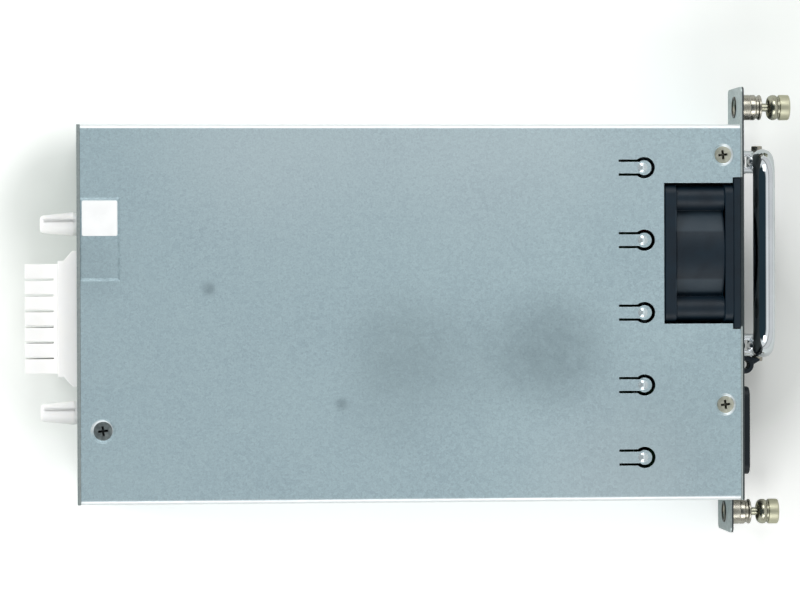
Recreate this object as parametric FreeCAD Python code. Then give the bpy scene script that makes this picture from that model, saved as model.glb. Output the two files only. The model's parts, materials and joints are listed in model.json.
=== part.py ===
import FreeCAD, Part
import math
import os

# Plug-in switching power supply, one rack unit high, for a server shelf.
# Millimetres. The origin is at the centre of the chassis underside.
# +X points to the handle end, +Y to the side nearer the fan, +Z up to the cover.

Vector = FreeCAD.Vector
AXIS_X = Vector(1, 0, 0)
AXIS_Y = Vector(0, 1, 0)
AXIS_Z = Vector(0, 0, 1)

# Case
body_length = 190.0
body_width = 108.5
tray_sheet = 1.0
cover_sheet = 0.8
panel_sheet = 1.0
cover_bend = 1.3
tray_wall_height = 14.0
skirt_above_floor = 0.4
sheet_gap = 0.1
pin_gap = 0.03
hexagon_sides = 6

# Fan: 40 mm square and 20 mm deep, standing between the tray floor and the cut-out in the cover
fan_size = 40.0
fan_depth = 20.0
fan_from_side = 37.2
fan_rear_flange = 3.4
fan_front_flange = 2.6
fan_bore_radius = 0.47 * fan_size
fan_tube_wall = 1.0
fan_corner_radius = 3.0
fan_hole_offset = 0.4 * fan_size
fan_hole_radius = 2.1
fan_post_radius = 0.09 * fan_size
fan_cutout_gap = 0.3
fan_hub_radius = 0.25 * fan_size
fan_hub_wall = 1.0
fan_hub_face = 1.5
fan_hub_length = 14.5
fan_hub_set_back = 2.0
fan_motor_plate = 1.6
fan_strut_width = 2.6
fan_strut_count = 4
fan_blade_count = 5
fan_blade_chord = 12.5
fan_blade_thickness = 1.0
fan_blade_camber = 1.3
fan_blade_root_pitch = 48.0
fan_blade_tip_pitch = 34.0
fan_blade_tip_gap = 0.6
fan_blade_root_depth = 0.6
fan_blade_over_tip = 0.7
fan_shaft_radius = 1.0
fan_shaft_boss = 2.2
fan_bearing_radius = 2.4
fan_bearing_wall = 0.9
fan_magnet_wall = 1.4
fan_air_gap = 0.4
fan_coil_length = 7.0
fan_pole_count = 4
fan_pole_slot = 1.4
fan_pole_web = 1.0
fan_screw_depth = 6.0
fan_boss_length = 3.0

# Black guard between the fan and the front panel
guard_side = 1.6
guard_width = fan_size + 2 * guard_side
guard_thickness = 2.0
guard_ring_width = 1.2
guard_ring_count = 2
guard_rim_overlap = 0.6
guard_hub_radius = 4.0
guard_spoke_width = 1.4

# Front panel and its ears
panel_fan_hole_radius = 0.46 * fan_size
panel_flange_depth = 12.0
panel_flange_inset = 2.0
ear_reach = 10.9
ear_height = 21.0
ear_corner_radius = 1.6
ear_overlap = 3.2
lower_ear_bottom = 1.6
ear_hole_from_side = 5.3
ear_hole_radius = 2.9

# Captive thumbscrews in the ears
ferrule_radius = 3.7
ferrule_length = 6.7
ferrule_bore_radius = 1.75
ferrule_lip = 1.4
ferrule_groove_depth = 0.45
ferrule_groove_width = 0.7
ferrule_groove_from_end = 0.9
screw_thread_radius = 1.6
screw_neck_radius = 1.2
screw_neck_gap = 0.1
screw_travel = 2.1
knob_radius = 3.7
knob_length = 6.2
knob_skirt_length = 2.7
knob_groove_width = 0.4
knob_groove_depth = 0.5
knob_chamfer = 0.5
knob_recess_radius = 2.7
knob_recess_depth = 1.6
driver_slot_width = 0.9
driver_slot_depth = 1.3
friction_ring_height = 1.0
friction_ring_radius = 2.4

# Folding bail handle
bail_rod_radius = 3.175
post_from_guard = 5.6
bail_leg_spacing = guard_width + 2 * post_from_guard
bail_reach = 26.0
bail_bend_radius = 5.6
bail_lean = 5.9
bail_opening_angle = 95.9
bail_pivot_height = 10.0
bail_pivot_from_panel = 9.4
bail_tongue_thickness = 3.0
bail_leg_start = 4.7
post_radius = 3.6
post_flat = 3.3
post_slot_gap = 0.1
post_stud_radius = 2.0
post_nut_radius = 4.0
post_nut_height = 2.4
post_stud_end = 1.0
post_slot_run = 1.0
pivot_pin_radius = 1.25
pivot_head_radius = 1.6
pivot_head_height = 1.5

# Mains inlet, standing upright beside the fan
inlet_from_side = 19.8
inlet_bezel_width = 25.4
inlet_bezel_margin = 4.2
inlet_bezel_proud = 2.4
inlet_bezel_radius = 3.0
inlet_bezel_side_rim = 2.8
inlet_bezel_end_rim = 2.4
inlet_body_radius = 1.5
inlet_body_depth = 18.5
inlet_wall = 1.6
inlet_cavity_depth = 17.2
inlet_cavity_chamfer = 5.0
inlet_pin_pitch = 14.0
inlet_pin_offset = 2.0
inlet_pin_width = 4.0
inlet_pin_thickness = 2.0
inlet_pin_length = 15.6
inlet_tag_width = 4.8
inlet_tag_thickness = 0.8
inlet_tag_length = 8.0
panel_cut_gap = 0.2

# Cord clip and status light on the front panel
clip_from_side = 38.6
clip_z = 22.5
clip_ring_radius = 2.6
clip_ring_hole = 1.25
clip_height = 5.0
clip_stem_radius = 1.4
clip_stem_length = 0.5
clip_tail_length = 4.6
clip_tail_side = 1.5
clip_barb_radius = 1.9
clip_barb_length = 2.5
clip_barb_tip_radius = 0.8
clip_tail_inset = 1.0
clip_tail_tip = 0.3
light_from_side = 3.75
light_from_top = 8.0
light_lens_height = 0.8
light_radius = 1.6
light_rim = 2.1
light_length = 5.5

# Cover features
finger_count = 5
finger_side_margin = 12.5
finger_head_from_front = 28.1
finger_root_from_front = 35.5
finger_slot_radius = 3.05
finger_head_radius = 2.15
finger_arm_offset = 2.0
finger_arm_width = 0.65
finger_lift = 0.45
dome_radius = 1.4
dome_height = 0.45
dome_from_head = 0.5
recess_length = 11.3
recess_width = 23.6
recess_from_side = 21.0
recess_depth = 0.5
recess_slope = 0.6
sticker_size = 10.1
sticker_thickness = 0.12
sticker_gap = 0.1
sticker_corner = 0.5

# Cover screws
fan_side_screw_from_front = 5.1
fan_side_screw_from_side = 8.8
inlet_side_screw_from_front = 4.5
inlet_side_screw_from_side = 27.6
rear_screw_from_rear = 6.3
rear_screw_from_side = 21.1
dimple_depth = 0.45
front_dimple_radius = 3.1
rear_dimple_radius = 3.5
front_head_radius = 2.5
rear_head_radius = 2.75
cover_screw_radius = 1.5
cover_screw_length = 5.0
screw_recess_depth = 1.0
screw_recess_width = 0.7
screw_recess_share = 0.58

# Rear panel
vent_pitch = 4.7
vent_radius = 1.75
vent_border = 3.6
vent_margin = 0.8
vent_row_count = 5

# Rear output connector with its two guide pins
connector_centre_y = -1.3
connector_centre_z = 18.5
collar_width = 39.2
collar_height = 19.0
collar_base = 1.4
collar_taper = 2.5
collar_neck_width = 33.5
collar_neck_length = 1.7
block_width = 31.7
block_height = 13.6
block_length = 9.5
cell_count = 7
cell_groove = 0.6
cell_groove_end = 1.2
cell_cavity_width = 2.4
cell_cavity_height = 9.6
cell_cavity_depth = 8.6
connector_body_depth = 15.0
guide_pin_spacing = 54.8
guide_pin_length = 10.8
guide_pin_root_length = 1.2
guide_pin_tip_radius = 2.5
guide_pin_base_radius = 3.5
guide_pin_root_radius = 2.45
guide_pin_tip_round = 1.4
guide_pin_rib = 0.5
guide_pin_flange_radius = 4.6
guide_pin_stud_radius = 1.5
guide_pin_nut_radius = 3.0
guide_pin_nut_height = 2.0
guide_pin_stud_end = 0.5
terminal_thickness = 1.0
terminal_height = 8.4
terminal_inset = 1.2
terminal_tail = 3.0

# Main board and what stands on it
board_fan_gap = 2.0
board_rear_gap = 1.0
board_side_gap = 1.6
board_thickness = 1.6
standoff_height = 4.0
standoff_radius = 2.6
standoff_inset = 6.0
board_screw_radius = 1.45
board_screw_head = 2.7
board_screw_head_height = 1.9
board_screw_length = 4.6
board_parts_lift = 1.5
insulation_thickness = 0.4
insulation_hole_gap = 0.6

inlet_board_thickness = 1.6
inlet_board_width = 24.0
inlet_board_from_front = 0.4
inlet_board_hole_gap = 0.1

lead_radius = 0.8
lead_bend_share = 0.45
lead_start_from_axis_y = 7.2
lead_start_from_axis_z = 5.0
fan_plug_from_fan = 15.0
fan_plug_length = 6.0
fan_plug_width = 8.0
fan_plug_height = 7.0

# Places worked out from the sizes above
body_height = tray_sheet + fan_size
front_edge = body_length / 2
rear_edge = -body_length / 2
side_edge = body_width / 2
fan_centre_y = side_edge - fan_from_side
inlet_centre_y = inlet_from_side - side_edge
inlet_centre_z = body_height / 2
inlet_bezel_height = body_height - 2 * inlet_bezel_margin
inlet_body_width = inlet_bezel_width - 2 * inlet_bezel_side_rim
inlet_body_height = inlet_bezel_height - 2 * inlet_bezel_end_rim
inlet_cavity_width = inlet_body_width - 2 * inlet_wall
inlet_cavity_height = inlet_body_height - 2 * inlet_wall
clip_y = clip_from_side - side_edge
light_y = light_from_side - side_edge
light_z = body_height - light_from_top
finger_pitch = (body_width - 2 * finger_side_margin) / (finger_count - 1)
panel_front = front_edge + panel_sheet
panel_back = rear_edge - panel_sheet
tray_half_width = side_edge - cover_sheet - sheet_gap
cover_underside = body_height - cover_sheet
flange_underside = cover_underside - panel_sheet
guard_back = front_edge - guard_thickness
fan_front = guard_back
fan_back = fan_front - fan_depth
fan_centre_z = tray_sheet + fan_size / 2
board_bottom = tray_sheet + standoff_height
board_top = board_bottom + board_thickness
board_rear = rear_edge + board_rear_gap
board_front = fan_back - board_fan_gap
board_length = board_front - board_rear
fan_plug_x = fan_back - fan_plug_from_fan
fan_plug_y = fan_centre_y + lead_start_from_axis_y
board_half_width = tray_half_width - tray_sheet - board_side_gap
upper_ear_centre = body_height - ear_height / 2
lower_ear_centre = lower_ear_bottom + ear_height / 2
ear_axis_y = side_edge + ear_hole_from_side
pivot_x = panel_front + bail_pivot_from_panel
hub_front = fan_front - fan_hub_set_back
hub_back = hub_front - fan_hub_length
panel_flange_inner = fan_centre_y - guard_width / 2 - panel_flange_inset
panel_flange_outer = fan_centre_y + guard_width / 2 + panel_flange_inset
inner_wall = tray_half_width - tray_sheet - sheet_gap

# Parts on the main board. Along the case their sizes and places are shares of the board's length,
# across it their places are shares of half its width, and their heights are shares of the room above it.
parts_room = cover_underside - board_top
bulk_radius = 0.076 * board_length
bulk_height = 0.92 * parts_room
bulk_x = board_rear + 0.74 * board_length
bulk_ys = [0.71 * board_half_width, 0.197 * board_half_width]

transformer_x = board_rear + 0.485 * board_length
transformer_y = 0.158 * board_half_width
core_length = 0.2 * board_length
core_width = 26.0
core_height = 0.83 * parts_room
core_leg = 0.042 * board_length
core_plate = 7.0
core_post = 0.06 * board_length
core_window_gap = 0.5
bobbin_foot = 2.0
bobbin_foot_gap = 0.5
bobbin_reach = 2.0

wire = 1.2
wound_gap = 20.0
choke_x = board_rear + 0.527 * board_length
choke_y = 0.67 * board_half_width
choke_outer = 0.079 * board_length
choke_inner = choke_outer / 2
choke_width = 11.0
choke_turns = 9

filter_x = board_rear + 0.89 * board_length
filter_y = -0.177 * board_half_width
filter_outer = 0.06 * board_length
filter_inner = filter_outer / 2
filter_width = 9.0
filter_turns = 7

sink_thickness = 3.0
sink_height = 0.8 * parts_room
sink_foot = 4.0
sink_fin_count = 5
sink_fin_length = 9.0
sink_fin_thickness = 1.4
primary_sink_y = -0.532 * board_half_width
primary_sink_x = board_rear + 0.606 * board_length
primary_sink_length = 0.364 * board_length
secondary_sink_y = -0.236 * board_half_width
secondary_sink_x = board_rear + 0.309 * board_length
secondary_sink_length = 0.242 * board_length
transistor_width = 0.092 * board_length
transistor_height = 0.6 * parts_room
transistor_thickness = 4.8
transistor_lead = 5.0
transistor_lead_width = 1.2
primary_transistor_count = 3
secondary_transistor_count = 2

output_can_radius = 0.03 * board_length
output_can_height = 0.6 * parts_room
output_can_count = 6
output_can_pitch = 0.236 * board_half_width
output_can_gap = 2.0
output_can_x = rear_edge + connector_body_depth + terminal_tail + output_can_gap + output_can_radius
output_choke_x = board_rear + 0.29 * board_length
output_choke_y = 0.394 * board_half_width
output_choke_length = 0.12 * board_length
output_choke_width = 22.0
output_choke_height = 0.54 * parts_room
output_choke_plate = 4.0
output_bar_reach = 3.0
output_bar_thickness = 1.0
output_bar_gap = 1.0

inlet_board_height = 0.83 * parts_room

film_capacitor_length = 0.11 * board_length
film_capacitor_width = 9.0
film_capacitor_height = 0.45 * parts_room
film_capacitor_x = board_rear + 0.87 * board_length
film_capacitor_ys = [-0.591 * board_half_width, -0.867 * board_half_width]
relay_x = board_rear + 0.9 * board_length
relay_from_plug = 14.25
relay_y = fan_plug_y - relay_from_plug
relay_length = 0.09 * board_length
relay_width = 11.0
relay_height = 0.39 * parts_room
fuse_x = board_rear + 0.89 * board_length
fuse_from_plug = 13.25
fuse_y = fan_plug_y + fuse_from_plug
fuse_radius = 3.2
fuse_length = 0.11 * board_length
fuse_cap_length = 4.0
fuse_cap_wall = 0.3
fuse_cap_end = 0.4
fuse_clip_inset = 1.0
fuse_clearance = 1.0

control_board_length = 0.22 * board_length
control_board_from_rear = 6.0
control_board_x = board_rear + control_board_from_rear + control_board_length / 2
control_board_y = 0.749 * board_half_width
control_board_height = 0.71 * parts_room
control_board_thickness = 1.2
chip_length = 0.05 * board_length
chip_width = 1.2
chip_height = 7.0
chip_lift = 8.0
chip_count = 3


def box(x0, x1, y0, y1, z0, z1):
    """A block between two corners."""
    return Part.makeBox(x1 - x0, y1 - y0, z1 - z0, Vector(x0, y0, z0))


def rod(radius, length, x, y, z, axis):
    """A round bar that starts at a point and runs along an axis."""
    return Part.makeCylinder(radius, length, Vector(x, y, z), axis)


def pipe(outer, inner, length, x, y, z, axis):
    """A straight tube."""
    bore = rod(inner, length, x, y, z, axis)
    return rod(outer, length, x, y, z, axis).cut(bore)


def cone(base_radius, top_radius, height, x, y, z, axis):
    """A cone frustum that starts at a point and runs along an axis."""
    return Part.makeCone(base_radius, top_radius, height, Vector(x, y, z), axis)


def join(shapes):
    """One shape fused from several, with flush faces merged."""
    first = shapes[0]
    if len(shapes) == 1:
        return first
    return first.multiFuse(shapes[1:]).removeSplitter()


def take(shape, cutters):
    """A shape with several cutters removed."""
    if not cutters:
        return shape
    return shape.cut(cutters)


def prism(points, direction):
    """A straight prism over a closed outline."""
    face = Part.Face(Part.makePolygon(points + [points[0]]))
    return face.extrude(direction)


def soften(shape, radius, test):
    """Round the edges that a test picks."""
    edges = [edge for edge in shape.Edges if test(edge)]
    return shape.makeFillet(radius, edges)


def runs_along(edge, axis):
    """True for a straight edge parallel to an axis."""
    ends = edge.Vertexes
    if len(ends) != 2:
        return False
    step = ends[1].Point.sub(ends[0].Point)
    if step.Length < 1e-6:
        return False
    return abs(step.dot(axis)) > 0.9999 * step.Length


def plate_x(x0, x1, half_y, half_z, y, z, radius):
    """A plate facing along X with rounded corners."""
    plate = box(x0, x1, y - half_y, y + half_y, z - half_z, z + half_z)
    return soften(plate, radius, lambda edge: runs_along(edge, AXIS_X))


def export(name, solids):
    """Write one named sub-part."""
    shape = Part.makeCompound(solids)
    shape.exportStep("parts/" + name + ".step")


# Cover

def folded_channel(half_width, bottom, top, sheet, bend, x0, x1):
    """A sheet folded into an upside-down channel along X."""
    outer = box(x0, x1, -half_width, half_width, bottom, top)
    outer = soften(outer, bend, lambda edge: runs_along(edge, AXIS_X) and edge.CenterOfMass.z > top - 0.01)
    inner_half = half_width - sheet
    inner_top = top - sheet
    inner = box(x0, x1, -inner_half, inner_half, bottom, inner_top)
    inner_bend = bend - sheet
    inner = soften(inner, inner_bend,
                   lambda edge: runs_along(edge, AXIS_X) and edge.CenterOfMass.z > inner_top - 0.01)
    return outer.cut(inner)


def finger_positions():
    """Centres of the grounding fingers across the cover."""
    return [side_edge - finger_side_margin - finger_pitch * index for index in range(finger_count)]


def finger_slot(y):
    """The keyhole slot that frees one grounding finger from the sheet."""
    head_x = front_edge - finger_head_from_front
    root_x = front_edge - finger_root_from_front
    z0 = cover_underside - finger_lift
    z1 = body_height + finger_lift
    height = z1 - z0
    arm_outer = finger_arm_offset + finger_arm_width / 2
    arm_inner = finger_arm_offset - finger_arm_width / 2
    outer = join([
        rod(finger_slot_radius, height, head_x, y, z0, AXIS_Z),
        box(root_x, head_x, y - arm_outer, y + arm_outer, z0, z1),
    ])
    inner = join([
        rod(finger_head_radius, height, head_x, y, z0, AXIS_Z),
        box(root_x, head_x, y - arm_inner, y + arm_inner, z0, z1),
    ])
    return outer.cut(inner)


def finger_dome(y):
    """The raised contact dome pressed into the head of a finger."""
    x = front_edge - finger_head_from_front - dome_from_head
    radius = (dome_radius ** 2 + dome_height ** 2) / (2 * dome_height)
    ball = Part.makeSphere(radius, Vector(x, y, body_height + dome_height - radius))
    keep = rod(dome_radius, cover_sheet / 2 + dome_height, x, y, body_height - cover_sheet / 2, AXIS_Z)
    return ball.common(keep)


def recess_frustum(top, depth):
    """A flat-bottomed pocket with sloping sides, open at the rear edge."""
    y1 = side_edge - recess_from_side
    y0 = y1 - recess_width
    x1 = rear_edge + recess_length
    x0 = rear_edge
    upper = Part.makePolygon([
        Vector(x0, y0, top), Vector(x1, y0, top), Vector(x1, y1, top), Vector(x0, y1, top), Vector(x0, y0, top)])
    low = top - depth
    y0 += recess_slope
    y1 -= recess_slope
    x1 -= recess_slope
    lower = Part.makePolygon([
        Vector(x0, y0, low), Vector(x1, y0, low), Vector(x1, y1, low), Vector(x0, y1, low), Vector(x0, y0, low)])
    return Part.makeLoft([upper, lower], True, True)


def front_screw_places():
    """The two nickel screws at the handle end of the cover, one beside the fan and one over the inlet."""
    return [
        (front_edge - fan_side_screw_from_front, side_edge - fan_side_screw_from_side),
        (front_edge - inlet_side_screw_from_front, inlet_side_screw_from_side - side_edge),
    ]


def rear_screw_place():
    """The black screw near the connector end of the cover."""
    return rear_edge + rear_screw_from_rear, rear_screw_from_side - side_edge


def head_seat(x, y, head_radius, gap):
    """The cone of a countersunk head and the shank below it, grown by a gap."""
    top = body_height - dimple_depth
    cone_height = head_radius - cover_screw_radius
    seat = cone(cover_screw_radius + gap, head_radius + gap, cone_height, x, y, top - cone_height, AXIS_Z)
    shank = rod(cover_screw_radius + gap, cover_screw_length, x, y, top - cover_screw_length, AXIS_Z)
    mouth = rod(head_radius + gap, dimple_depth, x, y, top, AXIS_Z)
    return join([seat, shank, mouth])


def dimple(x, y, radius):
    """The shallow cone pressed down around a cover screw."""
    return cone(radius - dimple_depth, radius, dimple_depth, x, y, body_height - dimple_depth, AXIS_Z)


def screw_points():
    """Each cover screw with the size of its dimple and head."""
    points = [(x, y, front_dimple_radius, front_head_radius) for x, y in front_screw_places()]
    x, y = rear_screw_place()
    points.append((x, y, rear_dimple_radius, rear_head_radius))
    return points


def make_cover():
    """The cover: a folded channel with a fan cut-out, fingers, a label recess and screw dimples."""
    cover = folded_channel(side_edge, skirt_above_floor, body_height, cover_sheet, cover_bend,
                           rear_edge, front_edge)
    half_cut = fan_size / 2 + fan_cutout_gap
    half_guard = guard_width / 2 + fan_cutout_gap
    cut_bottom = cover_underside - cover_sheet
    cutters = [
        box(fan_back - fan_cutout_gap, front_edge, fan_centre_y - half_cut, fan_centre_y + half_cut,
            cut_bottom, body_height),
        box(guard_back - fan_cutout_gap, front_edge, fan_centre_y - half_guard, fan_centre_y + half_guard,
            cut_bottom, body_height),
    ]
    for y in finger_positions():
        cutters.append(finger_slot(y))
    additions = [recess_frustum(cover_underside, recess_depth)]
    cutters.append(recess_frustum(body_height, recess_depth))
    for x, y, radius, head_radius in screw_points():
        cutters.append(dimple(x, y, radius))
        cutters.append(head_seat(x, y, head_radius, pin_gap))
    for y in finger_positions():
        additions.append(finger_dome(y))
    cover = join([cover] + additions)
    return take(cover, cutters)


def countersunk_screw(x, y, head_radius):
    """A countersunk cross-recess screw in the cover."""
    top = body_height - dimple_depth
    cone_height = head_radius - cover_screw_radius
    head = cone(cover_screw_radius, head_radius, cone_height, x, y, top - cone_height, AXIS_Z)
    shank = rod(cover_screw_radius, cover_screw_length, x, y, top - cover_screw_length, AXIS_Z)
    half_slot = screw_recess_width / 2
    reach = head_radius * screw_recess_share
    floor = top - screw_recess_depth
    cross = [
        box(x - reach, x + reach, y - half_slot, y + half_slot, floor, top),
        box(x - half_slot, x + half_slot, y - reach, y + reach, floor, top),
    ]
    return take(join([head, shank]), cross)


def make_sticker():
    """The small white label in the corner of the recess, left blank."""
    x1 = rear_edge + recess_length - recess_slope - sticker_gap
    y1 = side_edge - recess_from_side - recess_slope - sticker_gap
    floor = body_height - recess_depth
    label = box(x1 - sticker_size, x1, y1 - sticker_size, y1, floor, floor + sticker_thickness)
    return soften(label, sticker_corner, lambda edge: runs_along(edge, AXIS_Z))


# Tray and end panels

def make_tray():
    """The tray: a floor with a low wall along each side."""
    outer = box(rear_edge, front_edge, -tray_half_width, tray_half_width, 0, tray_wall_height)
    outer = soften(outer, tray_sheet,
                   lambda edge: runs_along(edge, AXIS_X) and edge.CenterOfMass.z < 0.01)
    inner_half = tray_half_width - tray_sheet
    inner = box(rear_edge, front_edge, -inner_half, inner_half, tray_sheet, tray_wall_height)
    return outer.cut(inner)


def hexagon(radius, x, y, z):
    """A six-sided outline facing along X."""
    points = []
    for index in range(hexagon_sides):
        angle = 2 * math.pi * (index + 0.5) / hexagon_sides
        points.append(Vector(x, y + radius * math.cos(angle), z + radius * math.sin(angle)))
    return points


def upright_hexagon(radius, x, y, z):
    """A six-sided outline facing up."""
    points = []
    for index in range(hexagon_sides):
        angle = 2 * math.pi * index / hexagon_sides
        points.append(Vector(x + radius * math.cos(angle), y + radius * math.sin(angle), z))
    return points


def ear(side, centre_z):
    """One ear that carries a captive thumbscrew."""
    y_inner = side * (side_edge - ear_overlap)
    y_outer = side * (side_edge + ear_reach)
    blank = box(front_edge, panel_front, min(y_inner, y_outer), max(y_inner, y_outer),
                centre_z - ear_height / 2, centre_z + ear_height / 2)
    return soften(blank, ear_corner_radius,
                  lambda edge: runs_along(edge, AXIS_X) and abs(edge.CenterOfMass.y) > side_edge)


def post_places():
    """The two handle posts, either side of the fan."""
    half = bail_leg_spacing / 2
    return [fan_centre_y + half, fan_centre_y - half]


def make_front_panel():
    """The handle end: a plate with ears, flanges, and holes for all that it carries."""
    reach = front_edge - panel_flange_depth
    top_outer = box(reach, front_edge, panel_flange_outer, inner_wall, flange_underside, cover_underside)
    top_inner = box(reach, front_edge, -inner_wall, panel_flange_inner, flange_underside, cover_underside)
    foot_top = tray_sheet + panel_sheet
    foot_outer = box(reach, front_edge, panel_flange_outer, inner_wall, tray_sheet, foot_top)
    foot_inner = box(reach, front_edge, -inner_wall, panel_flange_inner, tray_sheet, foot_top)
    blank = join([
        box(front_edge, panel_front, -side_edge, side_edge, 0, body_height),
        ear(1, upper_ear_centre),
        ear(-1, lower_ear_centre),
        top_outer, top_inner, foot_outer, foot_inner,
    ])
    depth = panel_sheet
    cutters = [
        rod(panel_fan_hole_radius, depth, front_edge, fan_centre_y, fan_centre_z, AXIS_X),
        box(front_edge, panel_front,
            inlet_centre_y - inlet_body_width / 2 - panel_cut_gap,
            inlet_centre_y + inlet_body_width / 2 + panel_cut_gap,
            inlet_centre_z - inlet_body_height / 2 - panel_cut_gap,
            inlet_centre_z + inlet_body_height / 2 + panel_cut_gap),
        rod(ear_hole_radius + pin_gap, depth, front_edge, ear_axis_y, upper_ear_centre, AXIS_X),
        rod(ear_hole_radius + pin_gap, depth, front_edge, -ear_axis_y, lower_ear_centre, AXIS_X),
        rod(clip_stem_radius + pin_gap, depth, front_edge, clip_y, clip_z, AXIS_X),
        rod(light_radius + pin_gap, depth, front_edge, light_y, light_z, AXIS_X),
    ]
    for y in post_places():
        cutters.append(rod(post_stud_radius + pin_gap, depth, front_edge, y, bail_pivot_height, AXIS_X))
    for y, z in fan_corner_places():
        cutters.append(fan_screw(y, z, pin_gap))
    for x, y in front_screw_places():
        cutters.append(head_seat(x, y, front_head_radius, pin_gap))
    return take(blank, cutters)


def vent_places():
    """The staggered vent holes, clear of the connector and its guide pins."""
    places = []
    row_step = vent_pitch * math.sqrt(3) / 2
    columns = int((body_width - 2 * vent_border) / vent_pitch) + 1
    first_z = flange_underside - vent_border - row_step * (vent_row_count - 1)
    first_y = -vent_pitch * (columns - 1) / 2
    for row in range(vent_row_count):
        shift = vent_pitch / 4 if row % 2 else -vent_pitch / 4
        for column in range(columns):
            y = first_y + vent_pitch * column + shift
            z = first_z + row_step * row
            if vent_is_free(y, z):
                places.append((y, z))
    return places


def vent_is_free(y, z):
    """True where a vent hole misses the connector and the guide pins."""
    margin = vent_radius + vent_margin
    beside = abs(y - connector_centre_y) > collar_width / 2 + margin
    above = abs(z - connector_centre_z) > collar_height / 2 + margin
    if not (beside or above):
        return False
    for pin_y in guide_pin_places():
        if math.hypot(y - pin_y, z - connector_centre_z) < guide_pin_flange_radius + margin:
            return False
    return abs(y) < side_edge - vent_border


def guide_pin_places():
    """The two guide pins, either side of the connector."""
    half = guide_pin_spacing / 2
    return [connector_centre_y + half, connector_centre_y - half]


def make_rear_panel():
    """The connector end: a vented plate with flanges and the connector window."""
    reach = rear_edge + panel_flange_depth
    recess_outer = side_edge - recess_from_side + panel_flange_inset
    recess_inner = side_edge - recess_from_side - recess_width - panel_flange_inset
    foot_top = tray_sheet + panel_sheet
    x, y = rear_screw_place()
    blank = join([
        box(panel_back, rear_edge, -side_edge, side_edge, 0, body_height),
        box(rear_edge, reach, recess_outer, inner_wall, flange_underside, cover_underside),
        box(rear_edge, reach, -inner_wall, recess_inner, flange_underside, cover_underside),
        box(rear_edge, reach, -inner_wall, inner_wall, tray_sheet, foot_top),
    ])
    cutters = [
        head_seat(x, y, rear_head_radius, pin_gap),
        box(panel_back, rear_edge,
            connector_centre_y - collar_neck_width / 2 - panel_cut_gap,
            connector_centre_y + collar_neck_width / 2 + panel_cut_gap,
            board_top, connector_centre_z + block_height / 2 + panel_cut_gap),
    ]
    for pin_y in guide_pin_places():
        cutters.append(rod(guide_pin_stud_radius + pin_gap, panel_sheet, panel_back, pin_y,
                           connector_centre_z, AXIS_X))
    for vent_y, vent_z in vent_places():
        cutters.append(prism(hexagon(vent_radius, panel_back, vent_y, vent_z), Vector(panel_sheet, 0, 0)))
    return take(blank, cutters)


# Fan

def fan_corner_places():
    """The four screw holes in the corners of the fan."""
    places = []
    for side_y in (-1, 1):
        for side_z in (-1, 1):
            places.append((fan_centre_y + side_y * fan_hole_offset, fan_centre_z + side_z * fan_hole_offset))
    return places


def fan_axis_rod(radius, length, x):
    """A round bar on the fan's axis."""
    return rod(radius, length, x, fan_centre_y, fan_centre_z, AXIS_X)


def fan_square(x0, x1):
    """A square slice of the fan's outline."""
    half = fan_size / 2
    return plate_x(x0, x1, half, half, fan_centre_y, fan_centre_z, fan_corner_radius)


def make_fan_frame():
    """The fan housing: two square flanges on a round duct, with corner posts and a strutted motor plate."""
    duct = fan_axis_rod(fan_bore_radius + fan_tube_wall, fan_depth, fan_back)
    pieces = [
        fan_square(fan_back, fan_back + fan_rear_flange),
        fan_square(fan_front - fan_front_flange, fan_front),
        duct,
    ]
    outline = fan_square(fan_back, fan_front)
    for y, z in fan_corner_places():
        pieces.append(rod(fan_post_radius, fan_depth, fan_back, y, z, AXIS_X).common(outline))
    shell = join(pieces).cut(fan_axis_rod(fan_bore_radius, fan_depth, fan_back))
    shell = take(shell, [rod(fan_hole_radius, fan_depth, fan_back, y, z, AXIS_X) for y, z in fan_corner_places()])
    hub = fan_axis_rod(fan_hub_radius, fan_motor_plate, fan_back)
    barrel = fan_axis_rod(fan_bearing_radius + fan_bearing_wall, fan_coil_length + 2 * fan_motor_plate, fan_back)
    struts = []
    half = fan_strut_width / 2
    for index in range(fan_strut_count):
        strut = box(fan_back, fan_back + fan_motor_plate, fan_centre_y - half, fan_centre_y + half,
                    fan_centre_z + fan_bearing_radius + fan_bearing_wall / 2,
                    fan_centre_z + fan_bore_radius + fan_tube_wall / 2)
        turn = 45 + 360 / fan_strut_count * index
        struts.append(strut.rotate(Vector(0, fan_centre_y, fan_centre_z), AXIS_X, turn))
    motor_mount = join([hub, barrel] + struts)
    bore = fan_axis_rod(fan_bearing_radius + pin_gap, fan_depth, fan_back + fan_motor_plate / 2)
    return join([shell, motor_mount]).cut(bore)


def blade_section(radius, pitch):
    """A thin cambered section across one blade, square to a radius."""
    half = fan_blade_chord / 2
    pitch_angle = math.radians(pitch)
    along_x = math.sin(pitch_angle)
    along_y = math.cos(pitch_angle)
    middle_x = (hub_front + hub_back) / 2
    z = fan_centre_z + radius
    start = Vector(middle_x - half * along_x, fan_centre_y - half * along_y, z)
    end = Vector(middle_x + half * along_x, fan_centre_y + half * along_y, z)

    def bulge(amount):
        return Vector(middle_x + amount * along_y, fan_centre_y - amount * along_x, z)

    upper = Part.Arc(start, bulge(fan_blade_camber + fan_blade_thickness / 2), end).toShape()
    lower = Part.Arc(end, bulge(fan_blade_camber - fan_blade_thickness / 2), start).toShape()
    return Part.Wire([upper, lower])


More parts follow.
